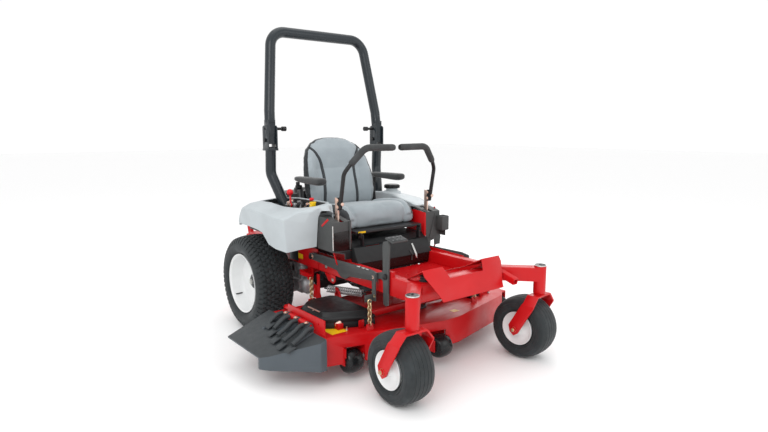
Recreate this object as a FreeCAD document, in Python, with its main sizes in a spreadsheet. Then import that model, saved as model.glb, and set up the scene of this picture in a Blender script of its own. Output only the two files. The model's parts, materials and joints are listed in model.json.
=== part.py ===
"""Zero turn mower: a ride-on mower with two driven rear wheels, two front casters,
a belly deck with three blades, two lap-bar levers and a folding roll bar.

The model is laid out from the ground under the middle of the rear axle: +X is the
operator's left, -Y is forward, +Z is up, in millimetres.  Each sub-part is then
shifted by the sheet's origin_x and origin_y, so the finished part stands on its
own footprint's centre.
"""
import FreeCAD, Part
import math
import os
import re
from FreeCAD import Placement, Rotation, Vector

DIMENSIONS = {
    # footprint centre, measured from the rear axle
    "origin_x": -41.5, "origin_y": -432.5,
    # frame
    "rail_in": 250, "rail_out": 300, "rail_low": 405, "rail_top": 495,
    "rail_front": -1185, "rail_rear": 470, "beam_deep": 60, "sheet": 4, "wall": 3,
    "floor_top": 430, "floor_rear": -745,
    # front casters
    "caster_x": 436, "caster_y": -1380, "tube_radius": 31.5, "tube_low": 360,
    "tube_high": 500, "kingpin_radius": 16, "running_gap": 0.05, "caster_trail": 80,
    "caster_radius": 163, "caster_wide": 154, "caster_rim": 87, "fork_wide": 64,
    "fork_plate": 8, "caster_axle": 9.5, "turn_left": 5.5, "turn_right": -1.3,
    # rear wheels
    "wheel_x": 478, "wheel_radius": 284, "wheel_wide": 227, "rim_radius": 176,
    "rim_half": 102, "axle_radius": 17.5,
    # roll bar
    "bar_radius": 31, "bar_wall": 4, "bar_pivot_z": 1130, "bar_pin_z": 1196,
    "bar_top_z": 1765, "bar_top_x": 329, "bar_top_y": 20, "pivot_radius": 6,
    # seat
    "seat_pivot_y": -700, "seat_pivot_z": 626, "seat_low": 650,
    "cap_x": 396, "cap_y": -222, "cap_radius": 48,
    "armrest_x": 290, "armrest_y": -175, "armrest_z": 856,
    # levers
    "stem_x": 317, "stem_y": -640, "stem_pivot_z": 665, "lever_radius": 11,
    "grip_radius": 18,
    # cutting deck
    "deck_low": 90, "deck_top": 228, "deck_right": -620, "deck_left": 705,
    "deck_wall": 5, "blade_x": 50, "blade_pitch": 425, "blade_front": -850,
    "blade_rear": -685, "blade_reach": 220, "blade_z": 112, "shaft_radius": 12.5,
    "roller_radius": 60, "chute_hinge_x": -622, "chute_hinge_z": 268,
    # deck lift
    "arm_x": 318, "arm_rear_y": -385, "arm_rear_z": 480, "arm_front_y": -963,
    "pedal_y": -1045, "pedal_z": 495, "crank_y": -310, "crank_z": 378,
    "chain_x": 370, "chain_front_y": -992, "chain_rear_y": -452,
    "chain_top": 383, "link_pitch": 15.5, "link_radius": 11, "link_wire": 3,
}

doc = FreeCAD.newDocument("zero_turn_mower")
sheet = doc.addObject("Spreadsheet::Sheet", "dims")
for row, (alias, number) in enumerate(DIMENSIONS.items(), start=1):
    sheet.set(f"A{row}", alias)
    sheet.set(f"B{row}", str(number))
    sheet.setAlias(f"B{row}", alias)
doc.recompute()
D = {alias: float(sheet.get(alias)) for alias in DIMENSIONS}
nodes = {}


# ---------------------------------------------------------------- helpers
def formula(text):
    """Turn sheet words in an expression into references to their cells."""
    def cell(word):
        return "dims." + word.group() if word.group() in DIMENSIONS else word.group()
    return re.sub(r"[a-z_]+", cell, str(text))


def bind(thing, **settings):
    """Bind properties to expressions on the sheet; __ in a name stands for a dot."""
    for name, text in settings.items():
        thing.setExpression(name.replace("__", "."), formula(text))
    return thing


def unique(name):
    count = 1
    while doc.getObject(f"{name}_{count}"):
        count += 1
    return f"{name}_{count}"


def box(size, corner):
    """A box from three size expressions and its low corner's three expressions."""
    solid = doc.addObject("Part::Box", unique("box"))
    for side, text in zip(("Length", "Width", "Height"), size):
        solid.setExpression(side, formula(text))
    place(solid, corner)
    return solid


def place(solid, corner, turn=None):
    if turn:
        solid.Placement.Rotation = turn
    for axis, text in zip("xyz", corner):
        solid.setExpression("Placement.Base." + axis, formula(text))
    return solid


ALONG = {"x": Rotation(Vector(0, 1, 0), 90), "y": Rotation(Vector(1, 0, 0), -90), "z": Rotation()}


def rod(radius, length, start, along="z"):
    """A round bar along one axis, from its start point towards +axis."""
    solid = doc.addObject("Part::Cylinder", unique("rod"))
    bind(solid, Radius=radius, Height=length)
    return place(solid, start, ALONG[along])


def fuse(*solids):
    joined = doc.addObject("Part::MultiFuse", unique("fuse"))
    joined.Shapes = list(solids)
    return joined


def cut(base, *tools):
    less = doc.addObject("Part::Cut", unique("cut"))
    less.Base = base
    less.Tool = tools[0] if len(tools) == 1 else fuse(*tools)
    return less


def common(first, second):
    shared = doc.addObject("Part::Common", unique("common"))
    shared.Base = first
    shared.Tool = second
    return shared


def group(*solids):
    """Separate solids kept together as one sub-part."""
    kept = doc.addObject("Part::Compound", unique("group"))
    kept.Links = list(solids)
    return kept


def mirrored(solid):
    """The same piece on the other side of the machine's middle plane."""
    other = doc.addObject("Part::Mirroring", unique("mirror"))
    other.Source = solid
    other.Base = Vector(0, 0, 0)
    other.Normal = Vector(1, 0, 0)
    return other


def moved(shape_source, shift):
    """A copy of an object's shape at another place."""
    copy = doc.addObject("Part::Compound", unique("copy"))
    copy.Links = [shape_source]
    return place(copy, shift)


PLANES = {"xy": "XY_Plane", "xz": "XZ_Plane", "yz": "YZ_Plane"}


def new_sketch(body, plane, loops, circles=()):
    """Closed outlines on one of a body's own origin planes.

    An outline is a list of points; three points in a tuple make an arc that starts
    at the first, passes the second and ends at the third."""
    base = next(f for f in body.Origin.OriginFeatures if f.Role == PLANES[plane])
    drawn = body.newObject("Sketcher::SketchObject", body.Name + "_sketch")
    drawn.AttachmentSupport = [(base, "")]
    drawn.MapMode = "FlatFace"
    for loop in loops:
        for edge in outline_edges(loop):
            drawn.addGeometry(edge, False)
    for u, v, radius in circles:
        drawn.addGeometry(Part.Circle(Vector(u, v, 0), Vector(0, 0, 1), radius), False)
    return drawn


def outline_edges(loop):
    """Lines between plain points, with a three-point tuple as an arc."""
    points = []
    edges = []
    for item in loop:
        if isinstance(item[0], tuple):
            start, middle, end = (Vector(u, v, 0) for u, v in item)
            if points and (points[-1] - start).Length > 1e-6:
                edges.append(Part.LineSegment(points[-1], start))
            edges.append(Part.Arc(start, middle, end))
            points += [start, end]
        else:
            spot = Vector(item[0], item[1], 0)
            if points:
                edges.append(Part.LineSegment(points[-1], spot))
            points.append(spot)
    if (points[-1] - points[0]).Length > 1e-6:
        edges.append(Part.LineSegment(points[-1], points[0]))
    return edges


def plate(plane, loops, thick, start, circles=()):
    """A padded outline: thick and start are expressions along the plane's normal.

    The pad grows towards +X on yz, towards +Z on xy and towards +Y on xz."""
    body = doc.addObject("PartDesign::Body", unique("plate"))
    drawn = new_sketch(body, plane, loops, circles)
    pad = body.newObject("PartDesign::Pad", body.Name + "_pad")
    pad.Profile = drawn
    bind(pad, Length=thick)
    pad.Reversed = plane == "xz"
    drawn.Visibility = False
    axis = {"xy": "z", "xz": "y", "yz": "x"}[plane]
    body.setExpression("Placement.Base." + axis, formula(start))
    return body


def turned(loop, about="x"):
    """A solid of revolution: the outline holds (along the axis, radius) points."""
    body = doc.addObject("PartDesign::Body", unique("turned"))
    if about == "z":
        loop = [tuple((v, u) for u, v in item) if isinstance(item[0], tuple)
                else (item[1], item[0]) for item in loop]
    drawn = new_sketch(body, "xz", [loop])
    spin = body.newObject("PartDesign::Revolution", body.Name + "_spin")
    spin.Profile = drawn
    role = {"x": "X_Axis", "z": "Z_Axis"}[about]
    axis = next(f for f in body.Origin.OriginFeatures if f.Role == role)
    spin.ReferenceAxis = (axis, [""])
    spin.Angle = 360
    return body


def path_wire(points, bend):
    """Straight runs joined by tangent arcs of one radius, as one wire."""
    corners = [Vector(*p) for p in points]
    edges = []
    last = corners[0]
    for before, corner, after in zip(corners, corners[1:], corners[2:]):
        into = (corner - before).normalize()
        out = (after - corner).normalize()
        turn = into.getAngle(out)
        reach = bend * math.tan(turn / 2)
        first = corner - into * reach
        final = corner + out * reach
        inward = (out - into).normalize()
        middle = corner + inward * (bend / math.cos(turn / 2) - bend)
        if (first - last).Length > 1e-6:
            edges.append(Part.LineSegment(last, first).toShape())
        edges.append(Part.Arc(first, middle, final).toShape())
        last = final
    edges.append(Part.LineSegment(last, corners[-1]).toShape())
    return Part.Wire(edges)


def tube(points, radius, bend):
    """A round bar swept along a bent path; radius is an expression."""
    spine = doc.addObject("Part::Feature", unique("path"))
    spine.Shape = path_wire(points, bend)
    section = doc.addObject("Part::Circle", unique("section"))
    bind(section, Radius=radius)
    start, towards = Vector(*points[0]), Vector(*points[1])
    section.Placement = Placement(start, Rotation(Vector(0, 0, 1), towards - start))
    swept = doc.addObject("Part::Sweep", unique("tube"))
    swept.Sections = [section]
    swept.Spine = (spine, [f"Edge{n + 1}" for n in range(len(spine.Shape.Edges))])
    swept.Solid = True
    swept.Frenet = False
    return swept


def prism(plane, loop, low, high):
    """A padded outline between two plain coordinates along the plane's normal."""
    return plate(plane, [loop], high - low, low)


def node(label, solid):
    """Name a finished sub-part and shift it to the footprint's centre."""
    solid.Label = label
    place(solid, ("-origin_x", "-origin_y", 0))
    nodes[label] = solid


# ---------------------------------------------------------------- frame
def build_frame():
    """Two box rails, their cross tubes and the red inner plates of the towers."""
    wide = "rail_out - rail_in"
    deep = "rail_top - rail_low"
    rails = [
        box((wide, "rail_rear - rail_front", deep), (edge, "rail_front", "rail_low"))
        for edge in ("rail_in", "-rail_out")
    ]
    ties = [box(("2 * rail_in", 50, 50), ("-rail_in", y, "rail_low")) for y in (-240, 380)]
    side = [(-690, 494), (-690, 712), (-600, 722), (-556, 716), (-520, 650), (-540, 494)]
    towers = []
    for start in (262, -268):
        towers.append(prism("yz", side, start, start + 6))
    leg = [(264, 556), (365, 556), (345, 490), (351, 490), (376, 572), (376, 700), (370, 700),
           (370, 562), (264, 562)]
    for sign in (1, -1):
        outline = [(sign * u, v) for u, v in leg]
        towers.append(prism("xz", outline, -684, -678))
        towers.append(rod(6, 64, (min(sign * 268, sign * 332), "stem_y", "stem_pivot_z"), "x"))
    side_plates = [box((20, 60, 27), (-300, "pedal_y - 30", "rail_top - 1"))]
    rear_plate = [(-420, 410), (-420, 524), (-150, 524), (-60, 495), (-60, 410)]
    hanger = [(-340, 406), (-280, 406), (-286, 350), (-334, 350)]
    bearing = [(D["crank_y"], D["crank_z"], 15 + D["running_gap"])]
    for start in (300, -306):
        side_plates.append(prism("yz", rear_plate, start, start + 6))
    for start in (280, -290):
        side_plates.append(plate("yz", [hanger], 10, start, circles=bearing))
    node("frame_rails", fuse(*rails, *ties, *towers, *side_plates))


def build_front_frame():
    """Cross beam, two raking arms with caster tubes and the front receiver."""
    beam = box(("2 * rail_out", "beam_deep", "rail_top - rail_low"),
               ("-rail_out", "rail_front - beam_deep", "rail_low"))
    slot = box((22, 20, 30), (-278, "rail_front - beam_deep - 5", "rail_low + 38"))
    arm = [(296, -1186), (250, -1232), (414, -1402), (458, -1358)]
    pieces = [cut(beam, slot)]
    bores = []
    for sign in (1, -1):
        outline = [(sign * u, v) for u, v in arm]
        pieces.append(prism("xy", outline, 424, 494))
        centre = (f"{sign} * caster_x", "caster_y")
        pieces.append(rod("tube_radius", "tube_high - tube_low", (*centre, "tube_low")))
        bores.append(rod("kingpin_radius + running_gap", "tube_high - tube_low + 20",
                         (*centre, "tube_low - 10")))
    shell = [(-16, -16), (16, -16), (16, 16), (-16, 16)]
    hole = [(-12, -12), (12, -12), (12, 12), (-12, 12)]
    receiver = group(plate("xz", [shell, hole], 130, -130))
    receiver.Placement = Placement(Vector(262, -1240, 478), Rotation(Vector(1, 0, 0), 16))
    pieces.append(receiver)
    node("front_frame", cut(fuse(*pieces), *bores))


def build_rear_frame():
    """Engine deck, rear cross bar, hitch tab with its hole and the tube guard."""
    deck_plate = cut(box(("2 * rail_out", 450, 6), ("-rail_out", 20, "rail_top")),
                     rod(45, 20, (0, 250, "rail_top - 6")))
    bar = box(("2 * rail_out", 46, 60), ("-rail_out", "rail_rear", "rail_low + 15"))
    tab = plate("xy", [[(-60, 510), (60, 510), (60, 560), ((60, 560), (0, 600), (-60, 560))]],
                10, 424, circles=[(0, 565, 9.6)])
    guard = tube([(-270, 500, 470), (-270, 552, 640), (270, 552, 640), (270, 500, 470)], 19, 60)
    node("rear_frame", fuse(deck_plate, bar, tab, guard))


def build_floor_pan():
    """Tread plate between the rails with rows of drain holes."""
    pan = box(("2 * rail_in - 0.4", "floor_rear - rail_front - 1", "sheet"),
              ("0.2 - rail_in", "rail_front + 0.5", "floor_top - sheet"))
    holes = [
        rod(8, 20, (x, y, "floor_top - 10"))
        for x in range(-200, 201, 80) for y in range(-1130, -790, 80)
    ]
    node("floor_pan", cut(pan, *holes))


def build_footrest():
    """One folded plate: a ramp up from the rails, a crest and a raked front face."""
    crest, low = (-1250, 557), (-1335, 418)
    fold = [(-1140, 496), crest, low, (-1331, 416), (-1248, 552), (-1142, 492)]
    fold[-1], fold[-2] = (-1143, 496), (-1249, 551.5)
    bent = prism("yz", fold, -263, 263)
    notch = [(-138, 565), (-114, 506), (114, 506), (138, 565)]
    opening = prism("xz", notch, -1300, -1100)
    trims = []
    for sign in (1, -1):
        corner = [(sign * 263.5, 530), (sign * 263.5, 410), (sign * 204, 410), (sign * 214, 440)]
        trims.append(prism("xz", corner, -1345, -1245))
    node("footrest", cut(bent, opening, *trims))


def build_isolators():
    """Rubber buffers under the footrest humps and under the seat pan's rear edge."""
    pads = []
    for x in (-216, 216):
        pads.append(rod(25, 23.5, (x, "rail_front - beam_deep / 2", "rail_top")))
        pads.append(rod(18, 41.5, (x * 0.8, -310, 600)))
    node("rubber_isolators", group(*pads))


def build_console():
    """Black steel seat platform with its raked front panel, open below and behind."""
    outer = [(-735, 432), (-748, 495), (-712, 572), (-684, 578), (-662, 600), (-270, 600),
             (-270, 432)]
    inner = [(-731.5, 400), (-731.5, 432), (-744, 495), (-710, 568.5), (-683, 574.5),
             (-661, 596.5), (-260, 596.5), (-260, 400)]
    hollow = cut(prism("yz", outer, -262, 262), prism("yz", inner, -258.5, 258.5))
    sides = []
    for start in (-270, 249):
        sides.append(prism("yz", [(-760, 420), (-260, 420), (-260, 496), (-760, 496)],
                           start, start + 21))
    slots = [box((105, 14, 40), (x, -709, 560)) for x in (-185, 80)]
    node("console_box", cut(hollow, *sides, *slots))


# ---------------------------------------------------------------- bodywork
def bodywork(top):
    """One side's moulded cover over the rear wheel, hollow and open below.

    The shape is what three views agree on: side, front and plan."""
    belly = [(-560, 568), (-470, 534), (-372, 545), (-318, 562), (-262, 592), (-222, 634),
             (-130, 660), (60, 648), (170, 622), (205, 625)]
    side = belly + top
    front = [(-560, 520), (-578, 705), (-520, 790), (-480, 812), (-304, 812), (-304, 520)]
    plan = [(-304, 215), (-304, -470), (-384, -478), (-384, -612), (-425, -620), (-545, -520),
            (-579, -420), (-579, 60), (-520, 215)]
    solid = common(common(prism("yz", side, -600, -290), prism("xz", front, -700, 300)),
                   prism("xy", plan, 500, 820))
    lift = 6
    inner_side = [(u, v - 60) for u, v in belly] + [(u - lift if u > -300 else u + lift, v - lift)
                                                  for u, v in top]
    inner_front = [(-552, 440), (-572, 705), (-516, 785), (-478, 806), (-298, 806), (-298, 440)]
    inner_plan = [(-298, 209), (-298, -464), (-378, -472), (-378, -604), (-422, -612),
                  (-540, -515), (-573, -417), (-573, 57), (-516, 209)]
    space = common(common(prism("yz", inner_side, -610, -280), prism("xz", inner_front, -710, 310)),
                   prism("xy", inner_plan, 430, 830))
    post_way = prism("xy", [(-420, -25), (-420, -170), (-290, -170), (-290, -25)], 500, 900)
    return cut(solid, space, post_way)


def build_right_fender():
    top = [(110, 715), (-20, 776), (-300, 790), (-560, 798), (-612, 770), (-600, 700)]
    recess = prism("xy", [(-345, -560), (-345, -190), (-400, -185), (-455, -260), (-455, -490),
                          (-410, -575)], 700, 830)
    node("fender_right", cut(bodywork(top), recess))


def build_fuel_tank():
    """The left cover is the fuel tank: it carries the filler neck."""
    top = [(110, 715), (-20, 776), (-200, 800), (-340, 790), (-480, 735), (-575, 715), (-590, 660)]
    shell = mirrored(bodywork(top))
    cap_x, cap_y = D["cap_x"], D["cap_y"]
    neck = cut(rod(38, 38, (cap_x, cap_y, 786)), rod(31, 50, (cap_x, cap_y, 780)))
    node("fuel_tank", fuse(shell, neck))


def build_control_panel():
    """Black tray sunk in the right cover, with the switch housings on it."""
    tray = prism("xy", [(-346, -559), (-346, -191), (-400, -186), (-454, -261), (-454, -489),
                        (-410, -574)], 742, 760)
    quadrant = prism("yz", [(-340, 758), (-330, 784), (-250, 784), (-240, 758)], -404, -384)
    slit = box((8, 70, 40), (-398, -325, 752))
    switch = cut(rod(17, 24, (-392, -520, 757)), rod(6.1, 60, (-392, -520, 735)))
    choke = fuse(rod(8, 60, (-368, -470, 757)), rod(12, 12, (-368, -470, 814)))
    lock = rod(11, 12, (-372, -420, 757))
    opened = cut(tray, rod(6.1, 60, (-392, -520, 735)))
    node("control_panel", fuse(opened, cut(quadrant, slit), switch, choke, lock))


def build_controls():
    """Throttle lever with its ball, blade clutch pull switch and fuel cap."""
    stick = plate("yz", [[(-292, 768), (-286, 768), (-276, 832), (-282, 832)]], 5, -396.5)
    ball = doc.addObject("Part::Sphere", unique("ball"))
    ball.Radius = 12
    ball.Placement.Base = Vector(-394, -279, 842)
    pivot = rod(6, 5, (-396.5, -289, 770), "x")
    node("throttle_lever", fuse(stick, ball, pivot))
    stalk = rod(6, 40, (-392, -520, 750))
    tee = box((34, 14, 20), (-409, -527, 788))
    node("pto_switch", fuse(stalk, tee))
    cap_x, cap_y = D["cap_x"], D["cap_y"]
    cap_wall = cut(rod("cap_radius", 26, (cap_x, cap_y, 812)), rod("cap_radius - 7", 46, (cap_x, cap_y, 785)))
    node("fuel_cap", fuse(cap_wall, rod("cap_radius", 7, (cap_x, cap_y, 831))))


def build_towers():
    """Charcoal covers over the lever pivots, open below, slotted on top."""
    side = [(-694, 560), (-690, 716), (-600, 736), (-554, 738), (-486, 676), (-548, 562)]
    inner = [(-691, 540), (-687, 712), (-600, 732), (-555, 734), (-490, 674), (-545, 540)]
    for name, sign in (("right", -1), ("left", 1)):
        spans = sorted((sign * 271, sign * 380))
        inside = sorted((sign * 265, sign * 377))
        cover = cut(prism("yz", side, *spans), prism("yz", inner, *inside))
        stem_slot = box((26, 100, 60), (sign * D["stem_x"] - 13, -688, 700))
        tongue = [(sign * x, z) for x, z in ((376, 560), (272, 560), (265, 514), (306, 514),
                                             (308, 542))]
        parts = [cut(cover, stem_slot), prism("xz", tongue, -694, -690)]
        if name == "left":
            pocket = cut(box((44, 92, 104), (380, -742, 572)), box((38, 86, 110), (383, -739, 575)))
            parts.append(cut(pocket, box((60, 30, 60), (390, -755, 640))))
        node("tower_" + name, fuse(*parts) if len(parts) > 1 else group(*parts))


# ---------------------------------------------------------------- roll bar
def build_roll_bar():
    """Two fixed posts and a folding hoop of round tube, with their cheeks and pins."""
    foot, knee = (338, -160, 528), (340, -150, 715)
    bend, head = (394, -55, 935), (394, -63, 1090)
    posts = []
    for sign in (1, -1):
        points = [(sign * x, y, z) for x, y, z in (foot, knee, bend, head)]
        wall = cut(tube(points, "bar_radius", 90), tube(points, "bar_radius - bar_wall", 90))
        cheek = [(-94, 1070), (-94, 1205), (-84, 1215), (-36, 1215), (-26, 1205), (-26, 1070)]
        holes = [(-60, D["bar_pivot_z"], D["pivot_radius"]),
                 (-60, D["bar_pin_z"], 8 + D["running_gap"])]
        for edge in (362.6, 419.4):
            low = min(sign * edge, sign * (edge + 6))
            posts.append(plate("yz", [cheek], 6, low, circles=holes))
        collar = box((66, 72, 12), (sign * 394 - 33, -96, 1070))
        posts.append(box((6, 90, 150), (min(sign * 306, sign * 312), -205, 420)))
        posts += [wall, collar]
    node("rops_posts", fuse(*posts))

    lower = (391.5, -58, 1232)
    upper = (389, -51, 1300)
    corner = ("bar_top_x", "bar_top_y", "bar_top_z")
    top_x, top_y, top_z = (D[word] for word in corner)
    points = [lower, upper, (top_x, top_y, top_z), (-top_x, top_y, top_z)]
    points += [(-x, y, z) for x, y, z in (upper, lower)]
    hoop = cut(hoop_tube(points, "bar_radius"), hoop_tube(points, "bar_radius - bar_wall"))
    lugs = []
    tools = []
    for sign in (1, -1):
        lug = box((50, 44, 140), (sign * 394 - 25, -82, 1108))
        lugs.append(lug)
        for z, radius in ((D["bar_pivot_z"], D["pivot_radius"] + D["running_gap"]),
                          (D["bar_pin_z"], 8 + D["running_gap"])):
            tools.append(rod(radius, 120, (sign * 394 - 60, -60, z), "x"))
    node("rops_hoop", cut(fuse(hoop, *lugs), *tools))
    for name, sign in (("right", -1), ("left", 1)):
        shank = rod(8, 55, (min(sign * 311, sign * 366), -60, "bar_pin_z"), "x")
        knob = rod(14, 24, (min(sign * 291, sign * 315), -60, "bar_pin_z"), "x")
        node("rops_pin_" + name, fuse(shank, knob))


def hoop_tube(points, radius):
    return tube(points, radius, 100)


# ---------------------------------------------------------------- power unit
def build_engine():
    """V-twin crankcase with finned barrels, black blower cover and a silencer."""
    case = rod(125, 151, (0, 250, 501))
    flange = rod(95, 14, (0, 250, 640))
    barrels = []
    for sign in (1, -1):
        for step in range(5):
            barrels.append(box((128, 10, 112), (f"{-64 + sign * 118}", 190 + step * 28, 520)))
        barrels.append(box((96, 126, 92), (f"{-48 + sign * 110}", 190, 530)))
    crank = rod(24, 150, (0, 250, 360))
    clutch = rod(62, 60, (0, 250, 400))
    node("engine_block", fuse(case, flange, *barrels, crank, clutch))

    cover = turned([(654, 0), (654, 190), (720, 200), (760, 150), (775, 150), (775, 60),
                    (800, 60), (800, 0)], about="z")
    place(cover, (0, 250, 0))
    cleaner = box((210, 90, 110), (-105, 60, 690))
    node("engine_cover", fuse(cover, cleaner))

    shell = rod(58, 330, (-165, 440, 570), "x")
    outlet = rod(16, 36, (110, 480, 560), "y")
    node("muffler", fuse(shell, outlet))


def build_transaxles():
    """Two hydrostatic units: pump, gear case and the bore that the wheel shaft turns in."""
    units = []
    for sign in (1, -1):
        case = box((150, 170, 190), (min(sign * 160, sign * 310), -90, 200))
        gear = rod(86, 130, (min(sign * 205, sign * 335), 0, 284), "x")
        pump = box((110, 140, 120), (min(sign * 190, sign * 300), -225, 225))
        dome = rod(56, 40, (sign * 245, -155, 345))
        pulley = rod(60, 14, (sign * 245, -155, 388))
        post = rod(12, 60, (sign * 245, -155, 345))
        bore = rod("axle_radius + running_gap", 200, (min(sign * 190, sign * 390), 0, 284), "x")
        units.append(cut(fuse(case, gear, pump, dome, pulley, post), bore))
    node("transaxles", group(*units))


def build_spring():
    """Belt tension spring with its end rods, lying along the right-hand side."""
    loop = [(-130, 0), (-130, 6), (-105, 6), (-102, 21), (102, 21), (105, 6), (130, 6), (130, 0)]
    body = turned(loop)
    body.Placement = Placement(Vector(-200, -530, 300), Rotation(Vector(0, 0, 1), -62.6))
    kept = group(body)
    node("assist_spring", kept)


def build_fasteners():
    """Roll bar hinge bolts, caster caps, lift arm pivots and pedal pivots."""
    bolts = []
    for sign in (1, -1):
        start = min(sign * 362.6, sign * 425.4)
        bolts.append(fuse(rod("pivot_radius", 62.8, (start, -60, "bar_pivot_z"), "x"),
                          rod(11, 9, (start - 9, -60, "bar_pivot_z"), "x"),
                          rod(11, 9, (start + 62.8, -60, "bar_pivot_z"), "x")))
        bolts.append(rod(27, 8, (f"{sign} * caster_x", "caster_y", "tube_high")))
        first = min(sign * 306, sign * 336)
        head = min(sign * 328, sign * 336)
        bolts.append(fuse(rod(7, 30, (first, "arm_rear_y", "arm_rear_z"), "x"),
                          rod(14, 8, (head, "arm_rear_y", "arm_rear_z"), "x")))
    bolts.append(fuse(rod(8, 24, (-324, "pedal_y", "pedal_z"), "x"),
                      rod(14, 6, (-322, "pedal_y", "pedal_z"), "x")))
    for start in (-221, 197):
        ear = box((6, 24, 60), (-203 if start < 0 else 197, "seat_pivot_y - 12", 577.2))
        bolts.append(fuse(rod(5, 24, (start, "seat_pivot_y", "seat_pivot_z"), "x"), ear))
    node("frame_fasteners", group(*bolts))


# ---------------------------------------------------------------- wheels
def tyre_outline(half, low, high, shoulder, wall):
    """Section of a hollow tyre, open towards the rim, as (along axle, radius) points."""
    tread = high - 0.05 * (high - low) - 4
    mid = (low + high) / 2 + 4
    foot = half * 0.80
    flank = [(foot, low), (half - 4, (low + mid) / 2), (half, mid), (half - 2, (mid + tread) / 2),
             (shoulder + 4, tread), (shoulder * 0.55, high - 2), (0, high)]
    skin = [(u, v) for u, v in flank] + [(-u, v) for u, v in flank[-2::-1]]
    inside = [(wall - foot, low), (wall - half, mid), (wall - shoulder, tread - wall),
              (shoulder - wall, tread - wall), (half - wall, mid), (foot - wall, low)]
    return skin + inside


def build_rear_wheels():
    half, low = D["wheel_wide"] / 2, D["rim_radius"] - 3
    loop = tyre_outline(half, low, D["wheel_radius"], half - 16, 13)
    rim_half, flange = D["rim_half"], D["rim_radius"]
    seat = low - 0.3
    shaft = D["axle_radius"]
    barrel = [(-rim_half, flange), (-rim_half, flange - 5), (-rim_half + 6, seat - 5),
              (12, seat - 5), (12, 60), (-28, 52), (-28, shaft), (-146, shaft), (-146, 0),
              (38, 0), (38, 30), (26, 44), (20, 60), (20, seat - 5), (rim_half - 6, seat - 5),
              (rim_half, flange - 5), (rim_half, flange), (rim_half - 4, flange),
              (rim_half - 9, seat), (-rim_half + 9, seat), (-rim_half + 4, flange)]
    for name, sign in (("left", 1), ("right", -1)):
        turn = Rotation(Vector(0, 0, 1), 0 if sign > 0 else 180)
        for label, outline in (("rear_tyre_", loop), ("rear_rim_", barrel)):
            wheel = turned(outline)
            wheel.Label = label + name
            wheel.Placement.Rotation = turn
            place(wheel, (f"{sign} * wheel_x - origin_x", "-origin_y", "wheel_radius"))
            nodes[label + name] = wheel


def build_casters():
    """Forks, tyres and rims, built on the kingpin's axis and turned to their heading."""
    gap = D["running_gap"]
    trail, radius = D["caster_trail"], D["caster_radius"]
    half = D["caster_wide"] / 2
    low = D["caster_rim"] - 3
    loop = tyre_outline(half, low, radius, half - 14, 11)
    seat, flange = low - 0.3, D["caster_rim"]
    bore = D["caster_axle"] + gap
    rim = [(-74, flange), (-74, flange - 6), (-64, seat - 10), (-62, 28), (-84, 26), (-84, bore),
           (84, bore), (84, 26), (62, 28), (64, seat - 10), (74, flange - 6), (74, flange),
           (70, flange), (64, seat), (-64, seat), (-70, flange)]
    drum = [(-58, 32), (58, 32), (58, seat - 12), (-58, seat - 12)]
    leg = 88 + D["fork_plate"]
    front = [(-60, 352), (-leg - 4, 306), (-leg - 4, 120), (-leg + 4, 120), (-leg + 4, 302),
             (-56, 344), (56, 344), (leg - 4, 302), (leg - 4, 120), (leg + 4, 120),
             (leg + 4, 306), (60, 352)]
    side = [(-32, 353), (32, 353), (34, 316), (114, 182), (106, 150), (82, 130), (58, 146),
            (-30, 298)]
    for name, sign in (("left", 1), ("right", -1)):
        crown = common(prism("xz", front, -60, 140), prism("yz", side, -120, 120))
        kingpin = rod("kingpin_radius", "tube_high - 354", (0, 0, 352))
        washer = rod(26, 7, (0, 0, 352))
        axle = rod("caster_axle", 214, (-107, "caster_trail", "caster_radius"), "x")
        heads = [rod(14, 9, (x, "caster_trail", "caster_radius"), "x") for x in (-109, 100)]
        fork = fuse(crown, kingpin, washer, axle, *heads)
        heading = Rotation(Vector(0, 0, 1), D["turn_" + name])
        valve = rod(6, 150, (-75, 0, 52), "x")
        for label, piece in (("caster_fork_", fork), ("caster_tyre_", turned(loop)),
                             ("caster_rim_", cut(turned(rim), turned(drum), valve))):
            piece.Label = label + name
            offset = heading.multVec(Vector(0, trail, radius)) if "fork" not in label else Vector()
            piece.Placement.Rotation = heading
            place(piece, (f"{sign} * caster_x - origin_x + {offset.x}",
                          f"caster_y - origin_y + {offset.y}", f"{offset.z}"))
            nodes[label + name] = piece


# ---------------------------------------------------------------- seat and levers
def rounded(points_by_view, fillet):
    """A soft block: the volume that a side and a front outline share, edges rounded."""
    side, front = points_by_view
    block = common(prism("yz", side, -300, 300), prism("xz", front, -800, 0))
    soft = doc.addObject("Part::Fillet", unique("soft"))
    soft.Base = block
    doc.recompute()
    soft.Edges = [(n + 1, fillet, fillet) for n in range(len(block.Shape.Edges))]
    return soft


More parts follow.
